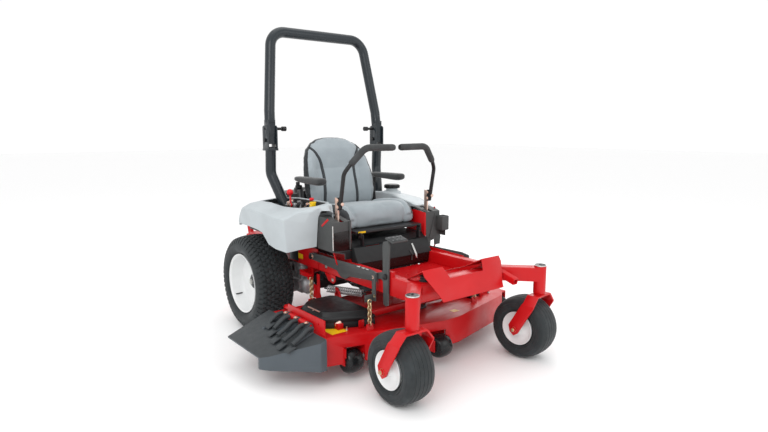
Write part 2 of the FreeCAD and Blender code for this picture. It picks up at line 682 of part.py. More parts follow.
def build_seat():
    plate_top = D["seat_low"]
    base = box((468, 450, 12), (-234, -690, "seat_low - 8"))
    ears = []
    for x in (-214, 208):
        ears.append(plate("yz", [[(-712, 616), (-688, 616), (-676, plate_top - 2),
                                  (-712, plate_top - 2)]], 6, x,
                          circles=[(-700, 626, 5 + D["running_gap"])]))
    post = [(-226, plate_top - 3), (-192, plate_top - 3), (-158, 850), (-160, 868), (-190, 868),
            (-200, 850)]
    brackets = [prism("yz", post, x, x + 6) for x in (-270, 264)]
    pins = [rod(6, 26, (x, "armrest_y", "armrest_z"), "x") for x in (-292, 266)]
    tongues = [box((60, 58, 12), (x, -250, "seat_low - 8")) for x in (-270, 210)]
    spine = prism("yz", [(-245, plate_top - 3), (-150, plate_top - 3), (-138, 760), (-150, 760),
                         (-176, 690), (-180, plate_top + 4), (-245, plate_top + 4)], -120, 120)
    node("seat_base", fuse(base, *ears, *brackets, *pins, *tongues, spine))
    cushion_side = [(-618, 662), (-600, 654), (-232, 654), (-246, 744), (-330, 760), (-520, 780),
                    (-590, 772), (-622, 740)]
    cushion_front = [(-236, 650), (236, 650), (252, 700), (240, 800), (-240, 800), (-252, 700)]
    node("seat_cushion", rounded((cushion_side, cushion_front), 14))
    back_side = [(-228, 690), (-240, 752), (-262, 790), (-258, 850), (-232, 960), (-176, 1090), (-130, 1142),
                 (-84, 1138), (-76, 1110), (-96, 1000), (-130, 880), (-150, 760), (-176, 690)]
    back_front = [(-190, 690), (190, 690), (240, 760), (254, 850), (250, 940), (230, 1030),
                  (190, 1098), (110, 1143), (-110, 1143), (-190, 1098), (-230, 1030), (-250, 940),
                  (-254, 850), (-240, 760)]
    node("seat_back", common(prism("yz", back_side, -260, 260), prism("xz", back_front, -300, 0)))
    pad = [(-480, 902), (-462, 876), (-400, 868), (-170, 880), (-160, 916), (-330, 924), (-455, 918)]
    for name, sign in (("left", 1), ("right", -1)):
        low = min(sign * 262, sign * 322)
        rest = prism("yz", pad, low, low + 60)
        hub_low = min(sign * 271, sign * 293)
        hub = rod(15, 22, (hub_low, "armrest_y", "armrest_z"), "x")
        bore = rod("6 + running_gap", 26, (min(sign * 269, sign * 295), "armrest_y", "armrest_z"), "x")
        web = box((20, 24, 30), (min(sign * 272, sign * 292), -187, 864))
        node("armrest_" + name, cut(fuse(rest, hub, web), bore))


def build_levers():
    """Flat copper-plated stems, bent lap bars and their foam grips."""
    for name, sign in (("left", 1), ("right", -1)):
        x = sign * D["stem_x"]
        stem = box((8, 26, 190), (x - 4, "stem_y - 13", 648))
        boss = rod(16, 24, (x - 12, "stem_y", "stem_pivot_z"), "x")
        pivot = rod("6 + running_gap", 80, (x - 40, "stem_y", "stem_pivot_z"), "x")
        swing = rod(5, 66, (x, -693, 809), "y")
        nut = rod(9, 5, (x, -693, 809), "y")
        node("lever_stem_" + name, fuse(cut(fuse(stem, boss), pivot), swing, nut))
        points = [(x, -668, 782), (sign * 316, -705, 969), (sign * 293, -718, 1005),
                  (sign * 209, -748, 1100), (sign * 24, -750, 1098)]
        bar = tube(points, "lever_radius", 62)
        clamp = box((24, 12, 66), (x - 12, -668, 776))
        eye = rod("5 + running_gap", 60, (x, -700, 809), "y")
        node("lever_tube_" + name, cut(fuse(bar, clamp), eye))
        grip_points = [(sign * 284.6, -721, 1014.5), (sign * 209, -748, 1100),
                       (sign * 20, -750.04, 1097.96)]
        sleeve = cut(tube(grip_points, "grip_radius", 62), tube(grip_points, "lever_radius", 62))
        node("lever_grip_" + name, sleeve)


# ---------------------------------------------------------------- cutting deck
def deck_outline(inset):
    """Plan of the deck: swept back at both ends, foremost in the middle."""
    left, right = D["deck_left"] - inset, D["deck_right"] + inset
    return [(right, -445 - inset), (right, -958 + inset), (-590 + inset, -966 + inset),
            (-80, -1100 + inset), (10, -1120 + inset), (120, -1120 + inset), (600, -1000 + inset),
            (left - 25, -935 + inset), (left, -880), (left, -470 - inset), (620, -445 - inset)]


def build_deck():
    wall = D["deck_wall"]
    low, top = D["deck_low"], D["deck_top"]
    shell = cut(prism("xy", deck_outline(0), low, top),
                prism("xy", deck_outline(wall), low - 10, top - wall))
    mouth = box((60, 400, 118), ("deck_right - 20", -905, "deck_low - 5"))
    pockets = [box((104, 150, 90), (-517, -1050, 80)), box((106, 160, 100), (-83, -1220, 80))]
    guards = [plate("xy", [pocket_wall(-517, -413, -1004, -899)], 46, 124),
              plate("xy", [pocket_wall(-83, 23, -1105, -1060)], 56, 124)]
    holes = [rod(45, 60, (x, y, "deck_top - 30")) for x, y in spindle_places()]
    flange = box((6, 345, 85), ("deck_right + 14", -955, "deck_top - 1"))
    pads = []
    for x in (-D["chain_x"], D["chain_x"]):
        for y in ("chain_front_y", "chain_rear_y"):
            eye = rod(4.2, 20, (x, y + " - 10", 249.5), "y")
            pads.append(cut(box((40, 6, 32), (x - 20, y + " - 3", "deck_top - 2")), eye))
    for x, front, rear, height in ((-262, -592, -530, 322), (-330, -476, -446, 392)):
        pads.append(prism("yz", [(front, top - 2), (rear, top - 2), (rear, height),
                                 (rear - 22, height)], x, x + 6))
    left_roller = [box((6, 30, 90), (x, -877, 98)) for x in (710, 777)]
    bridge = box((73, 30, 8), (710, -877, 186))
    arm = box((14, 30, 40), (698, -877, 154))
    pins = [rod(6, 98, (-514, -968, 90), "x"), rod(6, 100, (-80, -1133, 110), "x"),
            rod(6, 68, (712, -862, 105), "x")]
    ears = [box((6, 60, 60), (-86, -1150, 90)), box((6, 60, 60), (20, -1150, 90)),
            box((6, 70, 60), (-520, -990, 80)), box((6, 70, 60), (-416, -990, 80))]
    body = cut(fuse(shell, *guards), mouth, *pockets, *holes)
    hinge_x, hinge_z = D["chute_hinge_x"], D["chute_hinge_z"]
    hinges = [rod(5, 250, (hinge_x, -865, hinge_z), "y")]
    for y in (-818, -718):
        hinges += [rod(13, 56, (hinge_x, y, hinge_z), "y"),
                   box((20, 56, 14), (hinge_x, y, hinge_z - 7))]
    node("deck_shell", fuse(body, flange, *pads, *hinges, *left_roller, bridge, arm,
                            *pins, *ears))


def pocket_wall(left, right, front, rear):
    """A three-sided box outline in plan, wrapping a roller pocket from behind."""
    return [(left, front), (left, rear), (right, rear), (right, front), (right + 4, front),
            (right + 4, rear + 4), (left - 4, rear + 4), (left - 4, front)]


def spindle_places():
    x, pitch = D["blade_x"], D["blade_pitch"]
    return [(x - pitch, D["blade_rear"]), (x, D["blade_front"]), (x + pitch, D["blade_rear"])]


def build_blades():
    """Three cutting blades, each on its own shaft with a belt pulley on top."""
    gap = D["running_gap"]
    housings = []
    shaft = D["shaft_radius"]
    for name, (x, y) in zip(("right", "center", "left"), spindle_places()):
        housing = turned([(150, shaft + gap), (150, 34), (228, 34), (228, 60), (240, 60),
                          (240, 30), (256, 26), (256, shaft + gap)], about="z")
        housings.append(place(housing, (x, y, 0)))
        reach = D["blade_reach"]
        outline = [(-reach, -31), (reach - 70, -31), (reach, -24), (reach, 31), (70 - reach, 31),
                   (-reach, 24)]
        blade = plate("xy", [outline], 7, "blade_z")
        spindle = rod("shaft_radius", 180, (0, 0, 108))
        washer = rod(30, 24, (0, 0, 119))
        pulley = turned([(262, 0), (262, 62), (266, 66), (272, 54), (278, 66), (282, 62),
                         (282, 0)], about="z")
        whole = fuse(blade, spindle, washer, pulley)
        copy = moved(whole, (f"{x} - origin_x", f"{y} - origin_y", 0))
        copy.Label = "blade_" + name
        nodes["blade_" + name] = copy
    node("spindle_housings", group(*housings))


def build_rollers():
    spots = {"roller_right": (-465, -968, 90, 94), "roller_center": (-30, -1133, 110, 94),
             "roller_left": (747, -862, 105, 54)}
    bore = 6 + D["running_gap"]
    radius = D["roller_radius"]
    for label, (x, y, z, wide) in spots.items():
        half = wide / 2
        loop = [(-half, bore), (-half, radius - 30),
                ((-half, radius - 30), (-half * 0.72, radius - 10), (0, radius)),
                ((0, radius), (half * 0.72, radius - 10), (half, radius - 30)), (half, bore)]
        wheel = turned(loop)
        wheel.Label = label
        place(wheel, (f"{x} - origin_x", f"{y} - origin_y", z))
        nodes[label] = wheel


def build_belt_covers():
    """Two moulded covers over the outer pulleys, open towards the middle."""
    covers = []
    for flip in (1, -1):
        centre = D["blade_x"]
        outer = [(-610, -640), (-600, -835), (-560, -868), (-400, -940), (-345, -940),
                 (-345, -600), (-370, -565), (-520, -565), (-560, -590)]
        inner = [(-605, -642), (-596, -832), (-557, -863), (-401, -935), (-340, -935),
                 (-340, -602), (-372, -570), (-518, -570), (-556, -594)]
        place_x = [(flip * (u + 50 - centre) + centre, v) for u, v in outer]
        hollow_x = [(flip * (u + 50 - centre) + centre, v) for u, v in inner]
        covers.append(cut(prism("xy", place_x, 228, 305), prism("xy", hollow_x, 220, 301)))
    node("belt_covers", group(*covers))


def build_chute():
    """Hinged discharge deflector: sloping roof, raking front wall and hinge knuckles."""
    hinge_x, hinge_z = D["chute_hinge_x"], D["chute_hinge_z"]
    roof = prism("xz", [(-630, 246), (-866, 152), (-866, 145), (-650, 231), (-630, 231)], -1012, -448)
    plan = prism("xy", [(-629, -450), (-866, -450), (-866, -806), (-838, -846), (-661, -1010),
                        (-629, -1010)], 90, 300)
    skin = common(roof, plan)
    wall = prism("xy", [(-866, -790), (-866, -806), (-838, -846), (-661, -1010), (-629, -1010),
                        (-629, -1005), (-659, -1005), (-834, -843), (-861, -804), (-861, -790)],
                 95, 300)
    under = prism("xz", [(-629, 240), (-866, 147), (-866, 95), (-629, 95)], -1020, -440)
    fence = common(wall, under)
    hub = []
    for y in (-860, -760, -660):
        knuckle = rod(13, 40, (hinge_x, y, hinge_z), "y")
        web = prism("xz", [(hinge_x - 12, hinge_z + 4), (hinge_x - 11, hinge_z - 8), (-631, 236),
                           (-700, 210), (-700, 222)], y + 4, y + 36)
        hub += [knuckle, web]
    ribs = []
    for y in (-900, -800, -700, -600):
        ribs.append(prism("xz", [(-631, 244), (-631, 256), (-740, 214), (-740, 200)], y, y + 14))
    rod_hole = rod(5 + D["running_gap"], 600, (hinge_x, -1000, hinge_z), "y")
    node("discharge_chute", cut(fuse(skin, fence, *hub, *ribs), rod_hole))


# ---------------------------------------------------------------- deck lift
def build_lift():
    arms = []
    y0, z0, y1 = D["arm_rear_y"], D["arm_rear_z"], D["arm_front_y"]
    side = [(y0 + 24, z0 - 14), (y0 + 24, z0 + 16), (y0 - 10, z0 + 24), (y1 + 30, z0 + 32),
            (y1 - 24, z0 + 24), (y1 - 24, z0 - 20), (y1 + 60, z0 - 26), (-760, z0 - 40),
            (-720, z0 - 62), (-680, z0 - 60), (-640, z0 - 30), (y0 - 60, z0 - 18)]
    for sign in (1, -1):
        low = min(sign * 317, sign * 325)
        bar = plate("yz", [side], 8, low, circles=[(y0, z0, 7 + D["running_gap"])])
        pin = rod(5, 36, (min(sign * 302, sign * 338), y1, z0), "x")
        hanger = prism("yz", [(-986, 362), (-960, 362), (-958, 496), (-984, 496)],
                       min(sign * 325, sign * 331), max(sign * 325, sign * 331))
        cross = box((54, 6, 34), (min(sign * 325, sign * 379), -968, 362))
        hook = rod(3.5, 44, (f"{sign} * chain_x", -1006, "chain_top - 10.4"), "y")
        arms.append(fuse(bar, pin, hanger, cross, hook))
    node("lift_arms", group(*arms))

    shaft = rod(15, 700, (-350, "crank_y", "crank_z"), "x")
    cranks = []
    for sign in (1, -1):
        low = min(sign * 344, sign * 352)
        cranks.append(plate("yz", [[(-298, 362), (-298, 394), (-424, 384), (-434, 384),
                                    (-434, 364)]], 8, low))
        cranks.append(box((35, 6, 20), (min(sign * 344, sign * 379), -434, 364)))
        cranks.append(rod(2.6, 38, (f"{sign} * chain_x", -466, "chain_top - 10.9"), "y"))
    node("rear_lift_shaft", fuse(shaft, *cranks))

    post = [(-1063, 356), (-1045, 348), (-1027, 356), (-1024, 470), (-1010, 478), (-948, 466),
            (-944, 494), (-1012, 512), (-1024, 524), (-1020, 640), (-1026, 664), (-1062, 672),
            (-1072, 650), (-1068, 520)]
    slot = [(-978, 473), (-950, 473), (-950, 488), (-978, 488)]
    blade = plate("yz", [post, slot], 8, -314,
                  circles=[(D["pedal_y"], D["pedal_z"], 8 + D["running_gap"])])
    tread = box((96, 58, 8), (-310, -1092, 664))
    tread.Placement.Rotation = Rotation(Vector(1, 0, 0), 14)
    node("foot_pedal", fuse(blade, tread))


def build_chains():
    """Four short lift chains: each link's ring lies across the one before."""
    links = []
    for x in (-D["chain_x"], D["chain_x"]):
        for y in (D["chain_front_y"], D["chain_rear_y"]):
            for step in range(8):
                ring = doc.addObject("Part::Torus", unique("link"))
                bind(ring, Radius1="link_radius", Radius2="link_wire")
                across = Vector(0, 1, 0) if step % 2 else Vector(1, 0, 0)
                ring.Placement = Placement(
                    Vector(x, y, D["chain_top"] - 14 - step * D["link_pitch"]),
                    Rotation(across, 90))
                links.append(ring)
    node("lift_chains", group(*links))


def check_and_export():
    doc.recompute()
    bad = [o.Name for o in doc.Objects if "Invalid" in o.State or "Error" in o.State]
    if bad:
        raise RuntimeError(f"failed objects: {bad}")
    os.makedirs("parts", exist_ok=True)
    whole = FreeCAD.BoundBox()
    for label, solid in nodes.items():
        shape = solid.Shape
        if shape.isNull() or not shape.isValid() or not shape.Solids:
            raise RuntimeError(f"{label} has no valid solid")
        shape.exportStep(f"parts/{label}.step")
        whole.add(shape.optimalBoundingBox())
        span = shape.optimalBoundingBox()
        low = [round(v) for v in (span.XMin, span.YMin, span.ZMin)]
        high = [round(v) for v in (span.XMax, span.YMax, span.ZMax)]
        print(f"{label}: {len(shape.Solids)} solids, {shape.Volume / 1000:.1f} cm3, {low} {high}")
    print(len(nodes), "sub-parts, whole box", whole)


build_frame()
build_front_frame()
build_rear_frame()
build_floor_pan()
build_footrest()
build_isolators()
build_console()
build_right_fender()
build_fuel_tank()
build_control_panel()
build_controls()
build_towers()
build_roll_bar()
build_engine()
build_transaxles()
build_spring()
build_fasteners()
build_rear_wheels()
build_casters()
build_seat()
build_levers()
build_deck()
build_blades()
build_rollers()
build_belt_covers()
build_chute()
build_lift()
build_chains()
check_and_export()
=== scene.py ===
"""Zero turn mower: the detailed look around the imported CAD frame.

Lengths in the tables below are millimetres from the ground under the middle of the
rear axle (+X the operator's left, -Y forward), like the drawing; at() turns them
into the frame's metres.
"""
import json
import math
from contextlib import contextmanager

import bmesh
import bpy
from mathutils import Matrix, Vector, noise
from mathutils.bvhtree import BVHTree


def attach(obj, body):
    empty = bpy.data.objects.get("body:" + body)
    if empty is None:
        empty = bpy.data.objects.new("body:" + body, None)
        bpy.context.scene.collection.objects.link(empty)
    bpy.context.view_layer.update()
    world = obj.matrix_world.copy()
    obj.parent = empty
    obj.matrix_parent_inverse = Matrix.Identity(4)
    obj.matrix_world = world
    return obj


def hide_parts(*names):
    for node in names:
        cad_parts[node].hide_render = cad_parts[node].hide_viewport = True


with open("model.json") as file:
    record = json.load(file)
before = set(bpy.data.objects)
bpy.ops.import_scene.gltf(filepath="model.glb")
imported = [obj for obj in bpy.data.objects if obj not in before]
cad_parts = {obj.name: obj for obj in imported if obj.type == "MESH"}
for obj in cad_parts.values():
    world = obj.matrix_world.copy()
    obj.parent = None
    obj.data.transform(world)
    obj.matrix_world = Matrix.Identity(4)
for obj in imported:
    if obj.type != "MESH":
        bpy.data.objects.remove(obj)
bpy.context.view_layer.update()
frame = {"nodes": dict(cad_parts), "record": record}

MM = 0.001
FOOTPRINT_SHIFT = Vector((0.0415, 0.4325, 0.0))
CHASSIS = "chassis"
ACROSS, UP = (1, 0, 0), (0, 0, 1)
SIDES = (("left", 1), ("right", -1))
NODE_BODY = {
    node: body
    for body, listed in frame["record"]["behaviour"]["bodies"].items()
    for node in listed
}
NODE_SLOT = {part["node"]: part["material_slot"] for part in frame["record"]["subparts"]}


def at(x, y, z):
    """A drawing point in millimetres as a point of the frame in metres."""
    return Vector((x, y, z)) * MM + FOOTPRINT_SHIFT


# ---------------------------------------------------------------- materials
class Look:
    """A node material being built: a Principled surface with object-space texture."""

    def __init__(self, name, color, roughness, metallic=0.0, coat=0.0, sheen=0.0):
        self.material = bpy.data.materials.new(name)
        self.material.use_nodes = True
        self.tree = self.material.node_tree
        self.shader = self.tree.nodes["Principled BSDF"]
        self.set("Base Color", (*color, 1))
        self.set("Roughness", roughness)
        self.set("Metallic", metallic)
        self.set("Coat Weight", coat)
        self.set("Coat Roughness", 0.16)
        self.set("Specular IOR Level", 0.32 if metallic == 0 else 0.5)
        self.set("Sheen Weight", sheen)
        self.color = color
        self.roughness = roughness
        self.coords = self.add("ShaderNodeTexCoord")
        self.normal = None

    def add(self, kind, **values):
        node = self.tree.nodes.new(kind)
        for name, value in values.items():
            setattr(node, name, value)
        return node

    def set(self, socket, value):
        self.shader.inputs[socket].default_value = value

    def link(self, source, target):
        self.tree.links.new(source, target)

    def noise(self, scale, detail=3.0, stretch=None):
        """Noise over the object's own coordinates, optionally stretched per axis."""
        node = self.add("ShaderNodeTexNoise")
        node.inputs["Scale"].default_value = scale
        node.inputs["Detail"].default_value = detail
        source = self.coords.outputs["Object"]
        if stretch:
            mapping = self.add("ShaderNodeMapping")
            mapping.inputs["Scale"].default_value = stretch
            self.link(source, mapping.inputs["Vector"])
            source = mapping.outputs["Vector"]
        self.link(source, node.inputs["Vector"])
        return node.outputs["Fac"]

    def cells(self, scale):
        node = self.add("ShaderNodeTexVoronoi")
        node.inputs["Scale"].default_value = scale
        self.link(self.coords.outputs["Object"], node.inputs["Vector"])
        return node.outputs["Distance"]

    def spread(self, factor, low, high, dark=0.3, light=0.7):
        """Map a texture's middle range onto low..high."""
        node = self.add("ShaderNodeMapRange")
        for socket, value in (("From Min", dark), ("From Max", light), ("To Min", low),
                              ("To Max", high)):
            node.inputs[socket].default_value = value
        self.link(factor, node.inputs["Value"])
        return node.outputs["Result"]

    def blend(self, factor, other):
        """A mix from the base colour to another."""
        mix = self.add("ShaderNodeMix", data_type="RGBA")
        mix.inputs["A"].default_value = (*self.color, 1)
        mix.inputs["B"].default_value = (*other, 1)
        self.link(factor, mix.inputs["Factor"])
        return mix

    def vary_color(self, factor, other, low, high):
        """Blend the base colour towards another where the texture is high."""
        mix = self.blend(self.spread(factor, 0, 1, low, high), other)
        self.link(mix.outputs["Result"], self.shader.inputs["Base Color"])

    def vary_roughness(self, factor, amount):
        low, high = self.roughness - amount, self.roughness + amount
        self.link(self.spread(factor, low, high), self.shader.inputs["Roughness"])

    def bump(self, height, distance, strength):
        node = self.add("ShaderNodeBump")
        node.inputs["Strength"].default_value = strength
        node.inputs["Distance"].default_value = distance
        self.link(height, node.inputs["Height"])
        if self.normal:
            self.link(self.normal, node.inputs["Normal"])
        self.normal = node.outputs["Normal"]
        self.link(self.normal, self.shader.inputs["Normal"])


def shade(color, amount):
    return tuple(min(1.0, channel * amount) for channel in color)


def paint(name, color, roughness=0.3, coat=0.35, drift=0.84):
    """Powder coat: faint orange peel, slow colour drift, slightly uneven gloss."""
    look = Look(name, color, roughness, coat=coat)
    look.vary_color(look.noise(3.5, 4), shade(color, drift), 0.4, 0.75)
    look.vary_roughness(look.noise(22, 5), 0.07)
    look.bump(look.noise(420, 2), 0.0004, 0.25)
    return look.material


def plastic(name, color, roughness=0.5, grain=900, depth=0.00035):
    """Moulded plastic with a fine grain and a faint cloudiness."""
    look = Look(name, color, roughness)
    look.vary_color(look.noise(6, 4), shade(color, 0.88), 0.42, 0.7)
    look.vary_roughness(look.noise(35, 4), 0.06)
    look.bump(look.cells(grain), depth, 0.35)
    return look.material


def rubber(name, color=(0.030, 0.034, 0.036), roughness=0.72):
    look = Look(name, color, roughness, sheen=0.1)
    look.vary_color(look.noise(14, 6), shade(color, 1.75), 0.45, 0.8)
    look.vary_roughness(look.noise(40, 4), 0.08)
    look.bump(look.noise(600, 4), 0.0006, 0.35)
    return look.material


def leather_grain(look):
    look.bump(look.cells(420), 0.0009, 0.4)
    look.bump(look.noise(1500, 2), 0.0003, 0.3)


def vinyl(name, color, roughness=0.55):
    """Coated seat cloth: pebbled grain over a finer one."""
    look = Look(name, color, roughness, sheen=0.25)
    look.vary_color(look.noise(9, 5), shade(color, 0.86), 0.4, 0.75)
    look.vary_roughness(look.noise(50, 3), 0.06)
    leather_grain(look)
    return look.material


def metal(name, color, roughness=0.32, streaks=None):
    """Bare or plated metal with drawn streaks or a mottled plating."""
    look = Look(name, color, roughness, metallic=1.0)
    pattern = look.noise(60, 6, streaks)
    look.vary_color(pattern, shade(color, 0.72), 0.4, 0.8)
    look.vary_roughness(look.noise(90, 5, streaks), 0.1)
    look.bump(look.noise(500, 3, streaks), 0.0003, 0.3)
    return look.material


def casting(name, color, roughness=0.5):
    look = Look(name, color, roughness, metallic=0.85)
    look.vary_color(look.noise(16, 6), shade(color, 0.6), 0.4, 0.75)
    look.vary_roughness(look.noise(70, 5), 0.1)
    look.bump(look.noise(330, 5), 0.0016, 0.5)
    return look.material


RED = paint("red_enamel", (0.54, 0.0025, 0.005), 0.40, 0.06)
WHITE_RIM = paint("white_enamel", (0.76, 0.77, 0.77), 0.32, 0.3, 0.95)
BLACK_STEEL = paint("black_enamel", (0.010, 0.010, 0.011), 0.40, 0.12)
ARM_GREY = paint("grey_black_enamel", (0.062, 0.066, 0.066), 0.46, 0.05)
BLUE_BLACK = paint("blue_black_enamel", (0.013, 0.019, 0.024), 0.33, 0.22)
CHARCOAL = plastic("charcoal_plastic", (0.060, 0.063, 0.063), 0.55)
DARK_GREY = plastic("dark_grey_plastic", (0.012, 0.013, 0.014), 0.5)
CHUTE_SIDE = plastic("chute_plastic", (0.078, 0.094, 0.108), 0.5)
CHUTE_TOP = plastic("chute_roof_plastic", (0.040, 0.046, 0.050), 0.52)
BLACK_PLASTIC = plastic("black_plastic", (0.008, 0.009, 0.010), 0.42)
ROLLER_BLACK = plastic("roller_plastic", (0.010, 0.011, 0.012), 0.24, 500, 0.0001)
GLOSS_BLACK = plastic("gloss_black_panel", (0.010, 0.006, 0.006), 0.24, 300, 0.0001)
GREY_PLASTIC = plastic("light_grey_plastic", (0.475, 0.518, 0.538), 0.48, 1100, 0.0002)
TYRE = rubber("tyre_rubber", (0.020, 0.024, 0.026))
RUBBER = rubber("black_rubber", (0.014, 0.016, 0.018), 0.6)
FOAM = rubber("grip_foam", (0.040, 0.042, 0.043), 0.8)
SEAT_GREY = vinyl("seat_vinyl", (0.31, 0.355, 0.38))
SEAT_DARK = vinyl("seat_dark_vinyl", (0.030, 0.036, 0.041))
PIPING = vinyl("seat_piping", (0.010, 0.012, 0.014), 0.45)
ARM_PAD = vinyl("armrest_vinyl", (0.026, 0.028, 0.030), 0.5)
ZINC = metal("zinc_plate", (0.66, 0.66, 0.64), 0.3)
SPRING_GREY = paint("spring_grey", (0.46, 0.47, 0.48), 0.3, 0.3, 0.7)
COPPER_ZINC = metal("copper_zinc_plate", (0.84, 0.61, 0.51), 0.44, (6, 6, 1))
GOLD_ZINC = metal("gold_zinc_plate", (0.66, 0.52, 0.31), 0.36)
CAST = casting("cast_aluminium", (0.42, 0.43, 0.44))
DARK_CAST = casting("dark_casting", (0.10, 0.104, 0.108), 0.42)
YELLOW = plastic("yellow_plastic", (0.84, 0.53, 0.008), 0.35)
RED_KNOB = plastic("red_plastic", (0.72, 0.012, 0.020), 0.32)
BELT = rubber("belt_rubber", (0.028, 0.024, 0.022), 0.65)

SLOT_LOOK = {
    "red_paint": RED, "black_paint": BLACK_STEEL, "dark_frame": BLUE_BLACK,
    "charcoal_plastic": CHARCOAL, "light_plastic": GREY_PLASTIC,
    "black_plastic": BLACK_PLASTIC, "vinyl": SEAT_GREY, "tyre_rubber": TYRE,
    "rubber": RUBBER, "white_rim": WHITE_RIM, "cast_metal": CAST, "steel": ZINC,
    "copper_zinc": COPPER_ZINC, "yellow_plastic": YELLOW,
}


# ---------------------------------------------------------------- mesh tools
def new_object(name, data):
    made = bpy.data.objects.new(name, data)
    bpy.context.collection.objects.link(made)
    return made


def mesh_object(name, points, faces):
    mesh = bpy.data.meshes.new(name)
    mesh.from_pydata([tuple(p) for p in points], [], faces)
    mesh.validate()
    return new_object(name, mesh)


@contextmanager
def editing(mesh):
    """A bmesh of the mesh, written back at the end."""
    bm = bmesh.new()
    bm.from_mesh(mesh)
    yield bm
    bm.to_mesh(mesh)
    bm.free()


def ring_faces(rings, count, wrap=False):
    """Quads between neighbouring rings of count points each."""
    faces = []
    for ring in range(rings if wrap else rings - 1):
        here, there = ring * count, (ring + 1) % rings * count
        faces += [(here + n, here + (n + 1) % count, there + (n + 1) % count, there + n)
                  for n in range(count)]
    return faces


def square_to(axis):
    """The unit axis and two directions square to it."""
    axis = Vector(axis).normalized()
    side = axis.orthogonal().normalized()
    return axis, side, axis.cross(side)


def evaluated_mesh(made):
    bpy.context.view_layer.update()
    graph = bpy.context.evaluated_depsgraph_get()
    return bpy.data.meshes.new_from_object(made.evaluated_get(graph))


def bake_modifiers(made):
    """Replace the mesh by what its modifiers make of it."""
    mesh = evaluated_mesh(made)
    made.modifiers.clear()
    made.data = mesh
    return made


def face_out(made):
    with editing(made.data) as bm:
        bmesh.ops.recalc_face_normals(bm, faces=bm.faces)
    return made


def soften(made, width, segments=2, limit=32):
    """Round the edges sharper than the limit in degrees."""
    bevel = made.modifiers.new("bevel", "BEVEL")
    bevel.width = width
    bevel.segments = segments
    bevel.limit_method = "ANGLE"
    bevel.angle_limit = math.radians(limit)
    return bake_modifiers(made)


def thicken(made, wall):
    """Give an open surface a wall on its inner side."""
    solid = made.modifiers.new("wall", "SOLIDIFY")
    solid.thickness = wall
    solid.offset = -1
    return bake_modifiers(made)


def subdivide(made, levels=2):
    """Round a soft shape with a subdivision surface."""
    made.modifiers.new("subdivision", "SUBSURF").levels = levels
    return bake_modifiers(made)


def smooth(made, angle):
    """Smooth shading that keeps edges sharper than the angle in degrees."""
    made.data.shade_smooth()
    made.data.set_sharp_from_angle(angle=math.radians(angle))
    return made


def tinted(made, look):
    """Give a piece one material, often before it is joined to others."""
    made.data.materials.clear()
    made.data.materials.append(look)
    return made


def dress(made, look, body, replaces=(), angle=35):
    """Finish a piece: material (None keeps its own), smoothing, body, replaced nodes."""
    if look:
        tinted(made, look)
    smooth(made, angle)
    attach(made, body)
    if replaces:
        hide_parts(*replaces)
    return made


def lathe(name, profile, centre, axis, steps=72):
    """Turn a closed profile of (along, radius) points about an axis through the centre."""
    axis, side, other = square_to(axis)
    points = []
    for step in range(steps):
        angle = 2 * math.pi * step / steps
        out = side * math.cos(angle) + other * math.sin(angle)
        points += [centre + (axis * along + out * radius) * MM for along, radius in profile]
    made = mesh_object(name, points, ring_faces(steps, len(profile), True))
    with editing(made.data) as bm:
        bmesh.ops.remove_doubles(bm, verts=bm.verts, dist=1e-6)
        bmesh.ops.recalc_face_normals(bm, faces=bm.faces)
    return made


def slab(name, outline, thick, to_place, bevel=1.5, segments=2):
    """An outline of (u, v) points padded by thick; to_place(u, v, w) gives the point."""
    count = len(outline)
    points = [to_place(u, v, w) for w in (0, thick) for u, v in outline]
    faces = [tuple(range(count))[::-1], tuple(range(count, 2 * count))] + ring_faces(2, count)
    made = face_out(mesh_object(name, points, faces))
    return soften(made, bevel * MM, segments) if bevel else made


def block(name, low, high, bevel=2.0, segments=2):
    """A box with rounded edges between two drawing points."""
    outline = [(low[0], low[1]), (high[0], low[1]), (high[0], high[1]), (low[0], high[1])]
    return slab(name, outline, high[2] - low[2], lambda u, v, w: at(u, v, low[2] + w), bevel,
                segments)


def rope(name, points, radius, cyclic=False, sides=5):
    """A round tube along points already in the frame."""
    curve = bpy.data.curves.new(name, "CURVE")
    curve.dimensions = "3D"
    curve.bevel_depth = radius * MM
    curve.bevel_resolution = sides
    curve.use_fill_caps = True
    spline = curve.splines.new("POLY")
    spline.points.add(len(points) - 1)
    for point, place in zip(spline.points, points):
        point.co = (*place, 1)
    spline.use_cyclic_u = cyclic
    holder = new_object(name + "_curve", curve)
    mesh = evaluated_mesh(holder)
    bpy.data.objects.remove(holder)
    return new_object(name, mesh)


def joined(name, parts):
    """Merge several fresh objects' meshes into one, keeping their materials."""
    target = parts[0]
    target.name = name
    target.data.name = name
    bm = bmesh.new()
    looks = []
    for part in parts:
        own = list(part.data.materials) or [None]
        shift = len(looks)
        looks += own
        start = len(bm.faces)
        bm.from_mesh(part.data)
        bm.faces.ensure_lookup_table()
        for face in bm.faces[start:]:
            face.material_index += shift
    target.data.materials.clear()
    for item in looks:
        target.data.materials.append(item)
    bm.to_mesh(target.data)
    bm.free()
    for part in parts[1:]:
        bpy.data.objects.remove(part)
    return target


def assemble(name, parts, body, replaces=(), angle=35):
    """Join tinted parts into one finished piece."""
    return dress(joined(name, parts), None, body, replaces, angle)


def refine(node, look, width=1.5):
    """A copy of a CAD node with rounded edges (mm), shown in the node's place."""
    made = new_object(node + "_finished", frame["nodes"][node].data.copy())
    with editing(made.data) as bm:
        bmesh.ops.remove_doubles(bm, verts=bm.verts, dist=1e-5)
        bmesh.ops.dissolve_limit(bm, angle_limit=math.radians(0.6), verts=bm.verts,
                                 edges=bm.edges)
        bmesh.ops.recalc_face_normals(bm, faces=bm.faces)
    soften(made, width * MM)
    return dress(made, look, NODE_BODY[node], [node])


